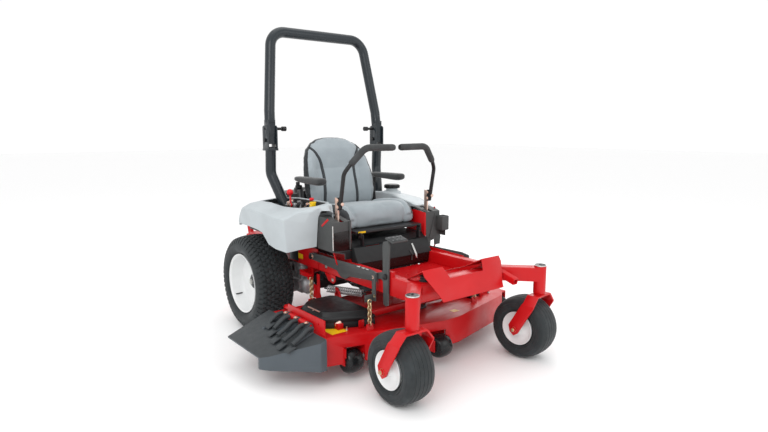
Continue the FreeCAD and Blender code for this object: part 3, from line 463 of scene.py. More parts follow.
def bolt(place, axis, radius=9, height=6, washer=1.7, look=ZINC, name="bolt"):
    """A flanged hex head with a chamfer, standing on the surface at place."""
    axis, side, other = square_to(axis)
    steps = 24
    rings = [(0, radius * washer, False), (1.6, radius * washer, False), (1.6, radius, True),
             (height - 1.2, radius, True), (height, radius * 0.84, True)]
    points = []
    for along, size, hexagon in rings:
        for n in range(steps):
            spoke = 2 * math.pi * n / steps
            reach = size
            if hexagon:
                corner = (spoke + math.pi / 6) % (math.pi / 3) - math.pi / 6
                reach = size * math.cos(math.pi / 6) / math.cos(corner)
            out = side * math.cos(spoke) + other * math.sin(spoke)
            points.append(place + (axis * along + out * reach) * MM)
    faces = ring_faces(len(rings), steps)
    faces.append(tuple(range(steps))[::-1])
    faces.append(tuple(range(len(points) - steps, len(points))))
    return tinted(mesh_object(name, points, faces), look)


def bolts(name, places, axis, body, **options):
    """One piece of several equal bolts."""
    heads = [bolt(place, axis, name=f"{name}_{n}", **options) for n, place in enumerate(places)]
    return assemble(name, heads, body)


# ---------------------------------------------------------------- camera, light, floor
CAMERA_PLACE = (-1976.8, -3130.7, 1198.1)
CAMERA_DIP, CAMERA_HEADING = 8.69, -38.41
LENS, SENSOR = 26.847, 36
LAMPS = (
    # name, place and size in metres, power in watts
    ("key", (-3.4, -2.6, 3.6), 2.6, 70), ("front", (1.8, -4.6, 2.6), 2.6, 24),
    ("top", (0.2, 0.2, 4.6), 3.0, 26), ("rim", (3.6, 2.8, 2.6), 2.4, 34),
)


def camera_and_light():
    """The photograph's viewing angle, plain soft light and a pale floor."""
    camera = bpy.data.cameras.new("camera")
    camera.lens = LENS
    camera.sensor_width = SENSOR
    holder = new_object("camera", camera)
    holder.location = at(*CAMERA_PLACE)
    holder.rotation_euler = (math.radians(90 - CAMERA_DIP), 0, math.radians(CAMERA_HEADING))
    bpy.context.scene.camera = holder

    world = bpy.data.worlds.new("studio")
    world.use_nodes = True
    background = world.node_tree.nodes["Background"]
    background.inputs["Color"].default_value = (1.0, 1.0, 1.0, 1)
    background.inputs["Strength"].default_value = 1.02
    bpy.context.scene.world = world
    for name, place, size, power in LAMPS:
        lamp = bpy.data.lights.new(name, "AREA")
        lamp.shape = "SQUARE"
        lamp.size = size
        lamp.energy = power
        holder = new_object(name, lamp)
        holder.location = place
        toward = Vector((0, 0, 0.5)) - Vector(place)
        holder.rotation_euler = toward.to_track_quat("-Z", "Y").to_euler()

    floor = mesh_object("floor", [(-30, -30, 0), (30, -30, 0), (30, 30, 0), (-30, 30, 0)],
                        [(0, 1, 2, 3)])
    look = Look("pale_floor", (0.96, 0.96, 0.96), 0.8)
    look.vary_roughness(look.noise(2, 2), 0.05)
    floor.data.materials.append(look.material)
    bpy.context.scene.view_settings.view_transform = "Standard"


# ---------------------------------------------------------------- wheels
DRIVE_CENTRE = (478, 0, 284)
CASTER_PIN = (436, -1380)
HEADING = {"left": 5.5, "right": -1.3}


def crown(shoulder, top, drop):
    """Radius of the tread at a distance across the tyre."""
    return lambda across: top - drop * min(1.0, abs(across) / shoulder) ** 2.4


def flipped(profile, sign):
    return [(sign * along, radius) for along, radius in profile]


def wheel_centre(sign):
    return at(sign * DRIVE_CENTRE[0], *DRIVE_CENTRE[1:])


def pin_point(sign, z):
    """A point of the drawing on the caster's pin."""
    return at(sign * CASTER_PIN[0], CASTER_PIN[1], z)


def rear_tyre(side, sign):
    """Carcass and staggered turf blocks running round the shoulder."""
    centre = wheel_centre(sign)
    surface = crown(96, 276.5, 13)
    wall = [(103, 252), (109, 240), (112.5, 226), (113, 213), (110, 201), (104, 191), (96, 183),
            (91, 178), (90, 173.5), (82, 173)]
    inside = [(80, 178), (98, 214), (94, 250), (80, 262)]
    profile = (flipped(wall[::-1], -1) + [(a, surface(a)) for a in range(-96, 97, 8)] + wall
               + inside + [(0, 266)] + flipped(inside[::-1], -1))
    parts = [tinted(lathe("carcass", profile, centre, ACROSS, 120), TYRE)]
    ridge = [(112, 218), (113.4, 220), (113.8, 222), (113.4, 224), (112, 226)]
    for flip in (1, -1):
        parts.append(tinted(lathe("ring", flipped(ridge, flip), centre, ACROSS, 96), TYRE))
    points, faces = [], []
    count = 54
    pitch = 2 * math.pi / count
    span = pitch * 0.39
    for n in range(count):
        for row, across in enumerate(range(-84, 85, 24)):
            turn = pitch * (n + 0.5 * (row % 2))
            skew = 0.18 * span * (1 if row % 2 else -1)
            add_block(points, faces, centre, across, turn, span, skew, surface)
        for flip in (1, -1):
            add_lug(points, faces, centre, flip, pitch * (n + 0.25), pitch * 0.36)
    tread = soften(face_out(mesh_object("tread", points, faces)), 0.0009, 1, 40)
    parts.append(tinted(tread, TYRE))
    assemble("turf_tyre_" + side, parts, "drive_wheel_" + side,
             ["rear_tyre_" + side], 40)


def ring_point(centre, across, radius, turn):
    return centre + Vector((across, -math.sin(turn) * radius, math.cos(turn) * radius)) * MM


def add_block(points, faces, centre, across, turn, span, skew, surface):
    """One tread block: a tapered box sunk a little into the carcass."""
    first = len(points)
    reach, height, limit = 11, 7.2, 284.0
    for shrink, lift in ((1.0, -2.5), (0.84, height)):
        for du, dv in ((-1, -1), (1, -1), (1, 1), (-1, 1)):
            a = across + du * reach * shrink
            angle = turn + dv * span * shrink + du * skew
            points.append(ring_point(centre, a, min(limit, surface(a) + lift), angle))
    b = first
    faces += [(b, b + 3, b + 2, b + 1), (b + 4, b + 5, b + 6, b + 7), (b, b + 1, b + 5, b + 4),
              (b + 1, b + 2, b + 6, b + 5), (b + 2, b + 3, b + 7, b + 6), (b + 3, b, b + 4, b + 7)]


def add_lug(points, faces, centre, flip, turn, span):
    """One shoulder lug that wraps down onto the side wall."""
    first = len(points)
    inner = [(92, 266), (103, 250), (108.5, 238)]
    outer = [(94, 271.5), (108, 254), (112, 239)]
    for station in range(3):
        for (a, r) in (inner[station], outer[station]):
            for dv in (-1, 1):
                points.append(ring_point(centre, flip * a, r, turn + dv * span))
    for n in (0, 4):
        b = first + n
        faces += [(b, b + 1, b + 5, b + 4), (b + 2, b + 6, b + 7, b + 3),
                  (b, b + 4, b + 6, b + 2), (b + 1, b + 3, b + 7, b + 5)]
    faces += [(first, first + 2, first + 3, first + 1),
              (first + 8, first + 9, first + 11, first + 10)]


def rear_rim(side, sign):
    """White steel rim: rolled flanges, drop centre, deep plain disc, small hub, valve."""
    centre = wheel_centre(sign)
    shell = [(-102, 173), (-102, 176), (-98, 177), (-94, 174), (-92, 170), (-60, 168), (-40, 160),
             (20, 158), (45, 162), (78, 168), (92, 170), (94, 174), (98, 177), (102, 176),
             (102, 173), (97, 171), (93, 166), (80, 163), (52, 158), (34, 154), (24, 148),
             (19, 138), (17, 118), (20, 96), (22, 74), (19, 60), (19, 0), (11, 0), (11, 60),
             (14, 74), (12, 96), (9, 120), (11, 140), (16, 152), (-40, 156), (-64, 163),
             (-92, 166)]
    hub = [(10, 0), (10, 42), (24, 44), (27, 40), (28, 29), (36, 27), (38.5, 22), (39, 0)]
    shaft = [(-146, 0), (-146, 17.4), (12, 17.4), (12, 0)]
    back = [(-28, 17.4), (-28, 52), (-20, 56), (14, 60), (14, 17.4)]
    parts = [tinted(lathe("turned", flipped(profile, sign), centre, ACROSS, steps), look)
             for profile, steps, look in ((shell, 96, WHITE_RIM), (hub, 48, DARK_CAST),
                                          (shaft, 40, ZINC), (back, 40, DARK_CAST))]
    parts.append(bolt(centre + Vector((sign * 0.039, 0, 0)), (sign, 0, 0), 13, 12, 1.3))
    stem = [centre + Vector((sign * u, 0.1196, -0.0954)) for u in (0.045, 0.086)]
    parts.append(tinted(rope("valve", stem, 3.7), RUBBER))
    assemble("steel_rim_" + side, parts, "drive_wheel_" + side,
             ["rear_rim_" + side], 30)


def caster_place(side, sign):
    """Centre and axle direction of one caster wheel."""
    angle = math.radians(HEADING[side])
    axle = Vector((math.cos(angle), math.sin(angle), 0))
    trail = Vector((-math.sin(angle), math.cos(angle), 0)) * 80
    return at(sign * CASTER_PIN[0] + trail.x, CASTER_PIN[1] + trail.y, 163), axle


def caster_wheel(side, sign):
    """Ribbed front tyre on a small white rim with a greased hub."""
    body = "caster_wheel_" + side
    centre, axle = caster_place(side, sign)
    top = crown(66, 163, 9)
    profile = [(-66, top(66) - 1)]
    for edge in (-44, -22, 0, 22, 44):
        profile += [(edge - 2.4, top(edge - 2.4)), (edge - 1.2, top(edge) - 1.4),
                    (edge + 1.2, top(edge) - 1.4), (edge + 2.4, top(edge + 2.4))]
    profile.append((66, top(66) - 1))
    wall = [(71, 148), (75, 137), (77, 125), (76.5, 114), (73, 104), (67, 96), (62, 90),
            (61, 85.5), (55, 85)]
    inside = [(54, 90), (66, 116), (62, 140)]
    profile = (flipped(wall[::-1], -1) + profile + wall + inside + [(0, 148)]
               + flipped(inside[::-1], -1))
    parts = [tinted(lathe("carcass", profile, centre, axle, 120), TYRE)]
    for flip in (1, -1):
        for radius in (108, 133):
            ring = [(74, radius - 3), (77.3, radius - 1), (77.3, radius + 1), (74, radius + 3)]
            parts.append(tinted(lathe("ring", flipped(ring, flip), centre, axle, 96), TYRE))
    assemble("ribbed_tyre_" + side, parts, body, ["caster_tyre_" + side], 40)

    disc = [(74, 84), (70, 80), (64, 73), (60, 60), (60, 44), (66, 31), (70, 26), (84, 25),
            (84, 9.6)]
    rolled = [(40, 78), (65, 82), (67, 86), (71, 88), (74, 87)]
    shell = flipped(rolled[::-1], -1) + rolled + disc + flipped(disc[::-1], -1)
    parts = [tinted(lathe("shell", shell, centre, axle, 96), WHITE_RIM)]
    seal = [(80, 9.6), (80, 22), (85, 21), (86.5, 16), (86.5, 9.6)]
    for flip in (1, -1):
        parts.append(tinted(lathe("seal", flipped(seal, flip), centre, axle, 40), DARK_CAST))
    assemble("caster_rim_finished_" + side, parts, body, ["caster_rim_" + side], 30)


def caster_fork(side, sign):
    """Folded plate fork with a welded crown, kingpin flange and a gold axle nut."""
    body = "caster_fork_" + side
    refine("caster_fork_" + side, RED, 1.6)
    centre, axle = caster_place(side, sign)
    parts = []
    for flip in (1, -1):
        place = centre + axle * flip * 0.1005
        parts.append(bolt(place, axle * flip, 10.5, 12, 1.45, GOLD_ZINC, name="axle_nut"))
        parts.append(tinted(lathe("stud", [(0, 0), (0, 6.5), (17, 6.5), (18, 5.5), (18, 0)], place,
                                  axle * flip, 24), GOLD_ZINC))
    assemble("caster_axle_nuts_" + side, parts, body)
    flange = lathe("kingpin_flange_" + side,
                   [(353, 16), (353, 30), (356, 30), (359, 26), (359, 16)], pin_point(sign, 0),
                   UP, 48)
    dress(flange, RED, body)


# ---------------------------------------------------------------- frame
FRAME_FINISH = (
    # node, look, edge radius in millimetres
    ("frame_rails", RED, 1.6), ("front_frame", RED, 1.6), ("rear_frame", RED, 1.6),
    ("footrest", RED, 0.9), ("console_box", DARK_GREY, 1.4), ("rops_posts", BLUE_BLACK, 1.2),
    ("rops_hoop", BLUE_BLACK, 1.2), ("rear_lift_shaft", RED, 1.2), ("lift_arms", ARM_GREY, 1.2),
    ("seat_base", BLACK_STEEL, 1.2), ("frame_fasteners", BLACK_STEEL, 0.6),
    ("spindle_housings", DARK_CAST, 1.5), ("engine_block", CAST, 1.5), ("transaxles", CAST, 4.0),
    ("deck_shell", RED, 1.4), ("engine_cover", BLACK_PLASTIC, 3.0), ("muffler", BLACK_STEEL, 2.0),
)


def chassis_frame():
    """Rounded copies of the frame's CAD nodes, with pedal studs, caps and bolts."""
    for node, look, radius in FRAME_FINISH:
        refine(node, look, radius)
    pedal = refine("foot_pedal", ARM_GREY, 1.2)
    pedal.data.materials.append(RUBBER)
    for face in pedal.data.polygons:
        if face.normal.z > 0.8 and face.center.z > 0.655:
            face.material_index = 1
    for n in range(8):
        x, y = -298 + 25 * (n % 4), -1082 + 30 * (n // 4)
        dot = lathe(f"pedal_dot_{n}", [(0, 0), (0, 6), (3, 5), (3, 0)],
                    at(x, y, 671.5 + (y + 1092) * 0.249), (0, -0.24, 0.97), 16)
        dress(dot, ARM_GREY, "foot_pedal")
    for side, sign in SIDES:
        cap = lathe(f"caster_cap_{sign + 1}", [(0, 0), (0, 29), (3, 31), (5, 31), (7, 28), (6, 22),
                                              (6.4, 8), (8, 7), (8, 0)], pin_point(sign, 500), UP,
                    48)
        dress(cap, ZINC, CHASSIS)
        places = [at(sign * 300.5, y, z) for y, z in ((-500, 440), (-820, 450))]
        bolts("rail_bolts_" + side, places, (sign, 0, 0), CHASSIS, radius=7.5, height=6)


def floor_and_labels():
    """Blank warning-coloured labels, console strips, and the parts beside the floor."""
    label("label_rail", (-306.6, -258, 438), (-306.6, -160, 468), "x", CHASSIS)
    label("label_deck", (-552, -938, 228.6), (-462, -842, 228.6), "z", "deck")
    label("label_centre", (146, -1054, 228.6), (188, -1020, 228.6), "z", "deck")
    label("label_seat", (-216, -690.6, 643), (-168, -690.6, 653), "y", "seat")
    low, bend, ridge = 436, 495, 568
    lower = slab("console_lower_face", [(-258, low), (258, low), (258, 492), (-258, 492)], 1.0,
                 lambda u, v, w: at(u, -736.6 - (v - low) * 0.195 - w, v), 0.4)
    dress(lower, GLOSS_BLACK, CHASSIS)

    def on_console(u, v, w):
        """The console's raked face above the bend and its lower face below."""
        rake = (ridge - max(v, bend)) * 0.468 - (bend - min(v, bend)) * 0.2
        return at(u, -715.5 - rake - w, v)

    strips = ((107, 521, 117, 462, 4.5, ARM_GREY), (134, 553, 150, 470, 6, ZINC))
    for n, (x, z, foot, end, half, look) in enumerate(strips):
        outline = [(x - half, z), (x + half, z), (x + 8 + half, bend), (foot + half, end),
                   (foot - half, end), (x + 8 - half, bend)]
        strip = slab(f"console_strip_{n}", outline, 2.4, on_console, 0.5)
        dress(strip, look, CHASSIS)
    outline = [(-604, 512), (-700, 508), (-968, 500), (-968, 452), (-604, 452)]
    wall = slab("floor_side_left", outline, 3, lambda u, v, w: at(300.5 + w, u, v), 1)
    dress(wall, RED, CHASSIS)
    for n, (y, z) in enumerate(((-391, 482), (-966, 479))):
        bolts(f"lift_arm_bolt_{n}", [at(-325, y, z)], (-1, 0, 0), "lift_arms", radius=9, height=8,
              look=COPPER_ZINC)
    for n, y in enumerate((-838, -878, -912)):
        wear = block(f"arm_wear_strip_{n}", (-326, y - 13, 505), (-316, y + 13, 511.6), 2)
        dress(wear, ZINC, "lift_arms")


def label(name, low, high, facing, body):
    """A thin blank sticker between two corners on one flat face."""
    grow = Vector([0.5 * (facing == axis) for axis in "xyz"])
    made = block(name, Vector(low) - grow, Vector(high) + grow, 0.2, 1)
    dress(made, YELLOW, body)


def isolators():
    """Ribbed rubber buffers under the footrest and the seat."""
    foot = [(0, 0), (0, 26), (2, 26), (4, 21), (9, 20), (12, 24), (15, 20), (20, 21), (22, 25),
            (23.4, 25), (23.4, 0)]
    seat = [(0, 0), (0, 20), (4, 20), (10, 15), (32, 15), (38, 19), (41.4, 19), (41.4, 0)]
    for name, profile, x, y, z in (("footrest", foot, 216, -1215, 495),
                                   ("seat", seat, 172.8, -310, 600)):
        for n, sign in enumerate((-1, 1)):
            made = lathe(f"{name}_buffer_{n}", profile, at(sign * x, y, z), UP, 40)
            node = ["rubber_isolators"] if (name, n) == ("footrest", 0) else ()
            dress(made, RUBBER, CHASSIS, node)


# ---------------------------------------------------------------- bodywork
# One column per station from the rear tip to the tower: lower edge, crease, ridge,
# the recess's outer and inner edges, and the edge beside the seat.
FENDER = (
    ((526, 126, 617), (531, 122, 642), (508, 118, 656), (440, 116, 660),
     (350, 116, 660), (306, 116, 652)),
    ((545, 64, 636), (551, 58, 692), (516, 52, 708), (442, 48, 715),
     (350, 48, 715), (306, 50, 708)),
    ((556, 6, 638), (561, 2, 737), (512, -6, 763), (446, -12, 773),
     (324, -12, 780), (306, -10, 770)),
    ((562, -104, 640), (573, -130, 748), (514, -150, 768), (450, -165, 777),
     (322, -150, 790), (306, -130, 784)),
    ((566, -200, 637), (577, -220, 746), (518, -230, 763), (456, -240, 774),
     (320, -240, 798), (306, -230, 792)),
    ((565, -262, 628), (578, -300, 741), (518, -312, 759), (458, -327, 771),
     (319, -330, 800), (306, -330, 795)),
    ((564, -335, 572), (578, -370, 737), (515, -388, 759), (452, -410, 774),
     (318, -415, 801), (306, -420, 797)),
    ((557, -400, 556), (576, -430, 732), (508, -448, 760), (440, -470, 777),
     (317, -490, 801), (306, -500, 799)),
    ((540, -490, 547), (562, -496, 726), (490, -520, 763), (404, -552, 789),
     (320, -560, 803), (306, -552, 799)),
    ((468, -520, 561), (458, -540, 706), (432, -556, 760), (388, -582, 790),
     (350, -602, 801), (306, -578, 797)),
    ((388, -546, 570), (384, -554, 690), (382, -560, 735), (380, -584, 768),
     (350, -622, 770), (314, -600, 752)),
)


def fender_points(sign, tank):
    """The station table mirrored to one side; the tank's nose slopes down instead."""
    rows = []
    for column in FENDER:
        row = []
        for level, (x, y, z) in enumerate(column):
            if tank and level:
                z -= 45 * min(1, max(0, (-300 - y) / 150)) + max(0, -500 - y) * 0.3
            row.append((sign * x, y, z))
        rows.append(row)
    return rows


def fender(side, sign):
    """Moulded cover: flat panels meeting in soft creases, a wall and a sunk tray."""
    tank = side == "left"
    rows = fender_points(sign, tank)
    levels = len(rows[0])
    points = [at(*p) for row in rows for p in row]
    base = len(points)
    faces, skirt = [], []
    for n in range(len(rows) - 1):
        for k in range(levels - 1):
            tray = not tank and k == 3 and 2 <= n <= 7
            a = n * levels + k
            if not tray:
                faces.append((a, a + 1, a + levels + 1, a + levels))
        skirt.append((a + 1, base + n, base + n + 1, a + 1 + levels))
    points += [at(x, y, 620 if z > 640 else z - 20) for x, y, z in (row[-1] for row in rows)]
    rear = tuple(range(levels)) + (base,)
    made = face_out(mesh_object("shell", points, faces + skirt + [rear]))
    thicken(soften(made, 0.006, 2, 9), 0.005)
    parts = [tinted(soften(made, 0.0022, 2, 50), GREY_PLASTIC)]
    if tank:
        assemble("tank_shell", parts, CHASSIS, ["fuel_tank"], 14)
    else:
        assemble("fender_shell", parts + control_recess(), CHASSIS,
                 ["fender_right", "control_panel"], 14)


def control_recess():
    """Walls and floor of the tray sunk in the right cover."""
    rim = [FENDER[n][3] for n in range(2, 9)] + [FENDER[n][4] for n in range(8, 1, -1)]
    top = [at(-x, y, z - 2) for x, y, z in rim]
    low = [at(-(x + (6 if n >= 7 else -6)), y + (8 if y < -500 else -8 if y > -20 else 0), 752)
           for n, (x, y, z) in enumerate(rim)]
    count = len(rim)
    faces = ring_faces(2, count) + [tuple(range(count, 2 * count))]
    made = thicken(face_out(mesh_object("tray", top + low, faces)), 0.002)
    edge = [at(-x, y, z + 1.5) for x, y, z in rim[7:]]
    lip = tinted(rope("tray_lip", edge, 4, sides=3), GREY_PLASTIC)
    return [tinted(made, BLACK_PLASTIC), lip]


def trimmed(made, x):
    """Cut the mesh off beyond a plane across the machine and close it."""
    with editing(made.data) as bm:
        cut = bmesh.ops.bisect_plane(bm, geom=bm.verts[:] + bm.edges[:] + bm.faces[:],
                                     plane_co=at(x, 0, 0), plane_no=ACROSS, clear_outer=True)
        rim = [e for e in cut["geom_cut"] if isinstance(e, bmesh.types.BMEdge)]
        bmesh.ops.holes_fill(bm, edges=rim)


def towers():
    """Charcoal lever towers: gloss or charcoal front panels, bright edge, red plates."""
    def panel(name, outline, look, plane, out=1.6, bevel=0.5):
        dress(slab(name, outline, out, plane, bevel), look, CHASSIS)

    def front(u, v, w):
        return at(u, -694.3 + max(0, v - 560) * 0.0256 - w, v)

    for side, sign in SIDES:
        tower = refine("tower_" + side, CHARCOAL, 5.0)
        if sign > 0:
            trimmed(tower, 381)
        panel("tower_slot_" + side, [(-592, 683), (-582, 691), (-646, 735), (-656, 727)], RED,
              lambda u, v, w: at(sign * (380.2 + w), u, v), 0.8)
    inner = [(-604, 720), (-690, 709), (-693, 579), (-684, 567), (-646, 605), (-612, 610)]
    panel("tower_plate_left", inner, RED, lambda u, v, w: at(270.6 - w, u, v), 2.0)
    dress(bolt(at(268.4, -664, 696), (-1, 0, 0), 4.5, 3, 1.5), BLACK_STEEL, CHASSIS)
    strip = rope("tower_strip_right", [at(-379.5, -694, 572), at(-379.5, -691, 700)], 3.0)
    dress(strip, ZINC, CHASSIS)
    hem = block("tower_hem_right", (-278, -697, 566), (-267, -693.4, 722), 1)
    dress(hem, CHARCOAL, CHASSIS)
    panel("inner_fender", [(196, 572), (40, 572), (-20, 640), (60, 690), (150, 660)], DARK_GREY,
          lambda u, v, w: at(-424 + w, u, v), 4, 1.5)
    panel("tower_front_right", [(-374, 566), (-258, 562), (-278, 668), (-374, 664)], GLOSS_BLACK,
          front)
    tongue = [(-340, 560), (-262, 560), (-254, 516), (-302, 516), (-304, 548)]
    panel("tower_tongue_right", tongue, DARK_GREY, front)
    panel("tower_front_left", [(292, 560), (340, 704), (384, 560), (378, 516), (334, 516),
                               (332, 550)], CHARCOAL, front, 4.0)
    rim = block("cup_pocket_rim", (350, -746, 604), (406, -693, 690), 5)
    hole = block("hole", (357, -740, 626), (399, -698, 700), 3)
    rim.modifiers.new("hollow", "BOOLEAN").object = hole
    bake_modifiers(rim)
    bpy.data.objects.remove(hole)
    dress(rim, CHARCOAL, CHASSIS)


def controls():
    """Finishes of the small CAD controls, with a knob, a quadrant and switch details."""
    stick = slab("stick", [(-294, 766), (-284, 766), (-274, 832), (-284, 832)], 6,
                 lambda u, v, w: at(-397 + w, u, v), 1)
    arc = [math.pi * (n / 12 - 0.5) for n in range(13)]
    ball = lathe("ball", [(18.5 * math.sin(t), 18.5 * math.cos(t)) for t in arc],
                 at(-394, -279, 842), UP, 32)
    eye = lathe("eye", [(-3, 0), (-3, 9), (3, 9), (3, 0)], at(-394, -289, 770), ACROSS, 24)
    assemble("throttle_finished", [tinted(part, RED_KNOB) for part in (stick, ball, eye)],
             "throttle_lever", ["throttle_lever"], 50)
    clutter = []
    for n in range(16):
        x, y = -352 - 11 * (n % 4) - 4 * (n % 3), -216 - 13 * n + 26 * (n % 2)
        clamp = block("clamp", (x - 9, y - 8, 759), (x + 7, y + 6, 770 + 8 * (n % 3)), 2)
        look = COPPER_ZINC if n % 5 == 2 else CAST if n % 2 else DARK_GREY
        clutter.append(tinted(clamp, look))
    cable = dense([at(-352, -210, 768), at(-372, -250, 779), at(-362, -330, 774),
                   at(-380, -400, 771), at(-360, -440, 768)], 8)
    clutter.append(tinted(rope("cable", cable, 3.4), RUBBER))
    for n in range(9):
        x, y, z = -338 - 13 * (n % 3), -180 - 31 * n, 782 + 5 * (n % 2)
        look = (CAST, COPPER_ZINC, DARK_CAST)[n % 3]
        clutter.append(bolt(at(x, y, z - 6), (0.3, -1, 0.2), 8, 22, 1.4, look))
    assemble("control_linkage", clutter, CHASSIS)
    grip = slab("grip", [(-18, 784), (18, 784), (13, 800), (19, 812), (-19, 812), (-13, 800)], 18,
                lambda u, v, w: at(-392 + u, -529 + w, v), 3)
    stalk = lathe("stalk", [(750, 0), (750, 6), (786, 6), (786, 0)], at(-392, -520, 0), UP, 24)
    assemble("pto_switch_finished", [tinted(grip, YELLOW), tinted(stalk, YELLOW)], "pto_switch",
             ["pto_switch"])
    knob = lathe("choke_knob", [(812, 0), (812, 10), (815, 12.6), (822, 12.6), (826, 9), (827, 0)],
                 at(-368, -470, 0), UP, 32)
    dress(knob, RED_KNOB, CHASSIS)
    profile = [(812, 41.5), (812, 47), (815, 49), (830, 49), (835, 46), (837.5, 38),
               (836, 14), (838, 0), (831, 0), (831, 41.5)]
    filler = at(396, -222, 0)
    cap = [lathe("fuel_cap_finished", profile, filler, UP, 72)]
    for n in range(24):
        turn = 2 * math.pi * n / 24
        place = filler + Vector((49 * math.cos(turn), 49 * math.sin(turn), 814)) * MM
        cap.append(rope("rib", [place, place + Vector((0, 0, 0.017))], 2.6, sides=2))
    assemble("fuel_cap_finished", [tinted(part, BLACK_PLASTIC) for part in cap], "fuel_cap",
             ["fuel_cap"])
    neck = lathe("filler_neck", [(770, 31), (770, 62), (792, 56), (798, 38), (824, 38), (824, 31)],
                 filler, UP, 48)
    dress(neck, GREY_PLASTIC, CHASSIS)


# ---------------------------------------------------------------- seat
def form(name, sections, around=28):
    """A closed soft form from (centre, half width, half depth, two axes, power) sections."""
    points = []
    for centre, across, deep, u_axis, v_axis, power in sections:
        for n in range(around):
            turn = 2 * math.pi * n / around
            c, s = math.cos(turn), math.sin(turn)
            u = across * math.copysign(abs(c) ** power, c)
            v = deep * math.copysign(abs(s) ** power, s)
            points.append(centre + (Vector(u_axis) * u + Vector(v_axis) * v) * MM)
    faces = ring_faces(len(sections), around)
    faces.append(tuple(range(around))[::-1])
    faces.append(tuple(range(len(points) - around, len(points))))
    return face_out(mesh_object(name, points, faces))


def inflate(made, cap, voxel=0.0065, frames=14, pressure=3.0):
    """Puff a closed form with a short cloth simulation, holding back large moves."""
    remesh = made.modifiers.new("remesh", "REMESH")
    remesh.mode = "VOXEL"
    remesh.voxel_size = voxel
    bake_modifiers(made)
    rest = [v.co.copy() for v in made.data.vertices]
    cloth = made.modifiers.new("cloth", "CLOTH").settings
    cloth.use_pressure = True
    cloth.uniform_pressure_force = pressure
    cloth.effector_weights.gravity = 0
    cloth.quality = 5
    cloth.tension_stiffness = cloth.compression_stiffness = 25
    cloth.shear_stiffness = 15
    cloth.bending_stiffness = 1.5
    scene = bpy.context.scene
    for step in range(1, frames + 1):
        scene.frame_set(step)
    bake_modifiers(made)
    scene.frame_set(1)
    for vertex, home in zip(made.data.vertices, rest):
        move = vertex.co - home
        if move.length > cap:
            vertex.co = home + move.normalized() * cap
    return made


def press_seams(made, seams, width, depth):
    """Sink the surface along seam polylines, with a soft shoulder."""
    vertices = made.data.vertices
    normals = [v.normal.copy() for v in vertices]
    for vertex, normal in zip(vertices, normals):
        near = min(polyline_distance(vertex.co, seam) for seam in seams)
        if near < width * 2.5:
            vertex.co -= normal * depth * math.exp(-(near / width) ** 2)


def polyline_distance(point, line):
    best = 1e9
    for a, b in zip(line, line[1:]):
        run = b - a
        t = max(0.0, min(1.0, (point - a).dot(run) / run.length_squared))
        best = min(best, (point - a - run * t).length)
    return best


def on_surface(made, origins):
    """Project points straight back onto a mesh."""
    tree = BVHTree.FromObject(made, bpy.context.evaluated_depsgraph_get())
    hits = [tree.ray_cast(point, Vector((0, 1, 0)), 1.5)[0] for point in origins]
    return [hit for hit in hits if hit is not None]


def dense(points, steps=10):
    """Points along a smooth curve through the given ones."""
    curve = []
    padded = [points[0]] + list(points) + [points[-1]]
    for k in range(1, len(padded) - 2):
        p0, p1, p2, p3 = (Vector(padded[k + n]) for n in (-1, 0, 1, 2))
        for n in range(steps):
            t = n / steps
            curve.append(0.5 * ((2 * p1) + (p2 - p0) * t + (2 * p0 - 5 * p1 + 4 * p2 - p3) * t * t
                                + (3 * p1 - p0 - 3 * p2 + p3) * t ** 3))
    curve.append(Vector(points[-1]))
    return curve


def two_tone(name, bands, rear_line):
    """Seat vinyl whose dark bands and flanks follow |x| and y curves over the height."""
    look = Look(name, (0.31, 0.355, 0.38), 0.55, sheen=0.25)
    look.vary_roughness(look.noise(50, 3), 0.06)
    leather_grain(look)
    axes = look.add("ShaderNodeSeparateXYZ")
    look.link(look.coords.outputs["Object"], axes.inputs["Vector"])

    def math_node(kind, one, two=None, fixed=None):
        node = look.add("ShaderNodeMath", operation=kind)
        look.link(one, node.inputs[0])
        if two is not None:
            look.link(two, node.inputs[1])
        if fixed is not None:
            node.inputs[1].default_value = fixed
        return node.outputs["Value"]

    def over_height(pairs):
        """A value in metres read off a curve of (height, value) in millimetres."""
        node = look.add("ShaderNodeFloatCurve")
        curve = node.mapping.curves[0]
        spots = [((z - 600) / 600, value / 400 + 0.5) for z, value in pairs]
        curve.points[0].location = spots[0]
        curve.points[1].location = spots[-1]
        for spot in spots[1:-1]:
            curve.points.new(*spot)
        node.mapping.update()
        look.link(look.spread(axes.outputs["Z"], 0, 1, 0.6, 1.2), node.inputs["Value"])
        offset = math_node("SUBTRACT", node.outputs["Value"], fixed=0.5)
        return math_node("MULTIPLY", offset, fixed=0.4)

    shifted = math_node("SUBTRACT", axes.outputs["X"], fixed=FOOTPRINT_SHIFT.x)
    side = math_node("ABSOLUTE", shifted)
    band = math_node("ABSOLUTE", math_node("SUBTRACT", side, over_height(bands)))
    dark = math_node("LESS_THAN", band, fixed=0.0105)
    depth = math_node("SUBTRACT", axes.outputs["Y"], fixed=FOOTPRINT_SHIFT.y)
    flank = math_node("MAXIMUM", math_node("SUBTRACT", side, fixed=0.18), fixed=0.0)
    depth = math_node("ADD", depth, math_node("MULTIPLY", flank, fixed=0.8))
    rear = math_node("GREATER_THAN", depth, over_height(rear_line))
    mask = math_node("MAXIMUM", dark, rear)
    light = look.blend(look.spread(look.noise(9, 5), 0, 1), (0.27, 0.31, 0.335))
    mix = look.blend(mask, (0.022, 0.027, 0.031))
    look.link(light.outputs["Result"], mix.inputs["A"])
    look.link(mix.outputs["Result"], look.shader.inputs["Base Color"])
    return look.material


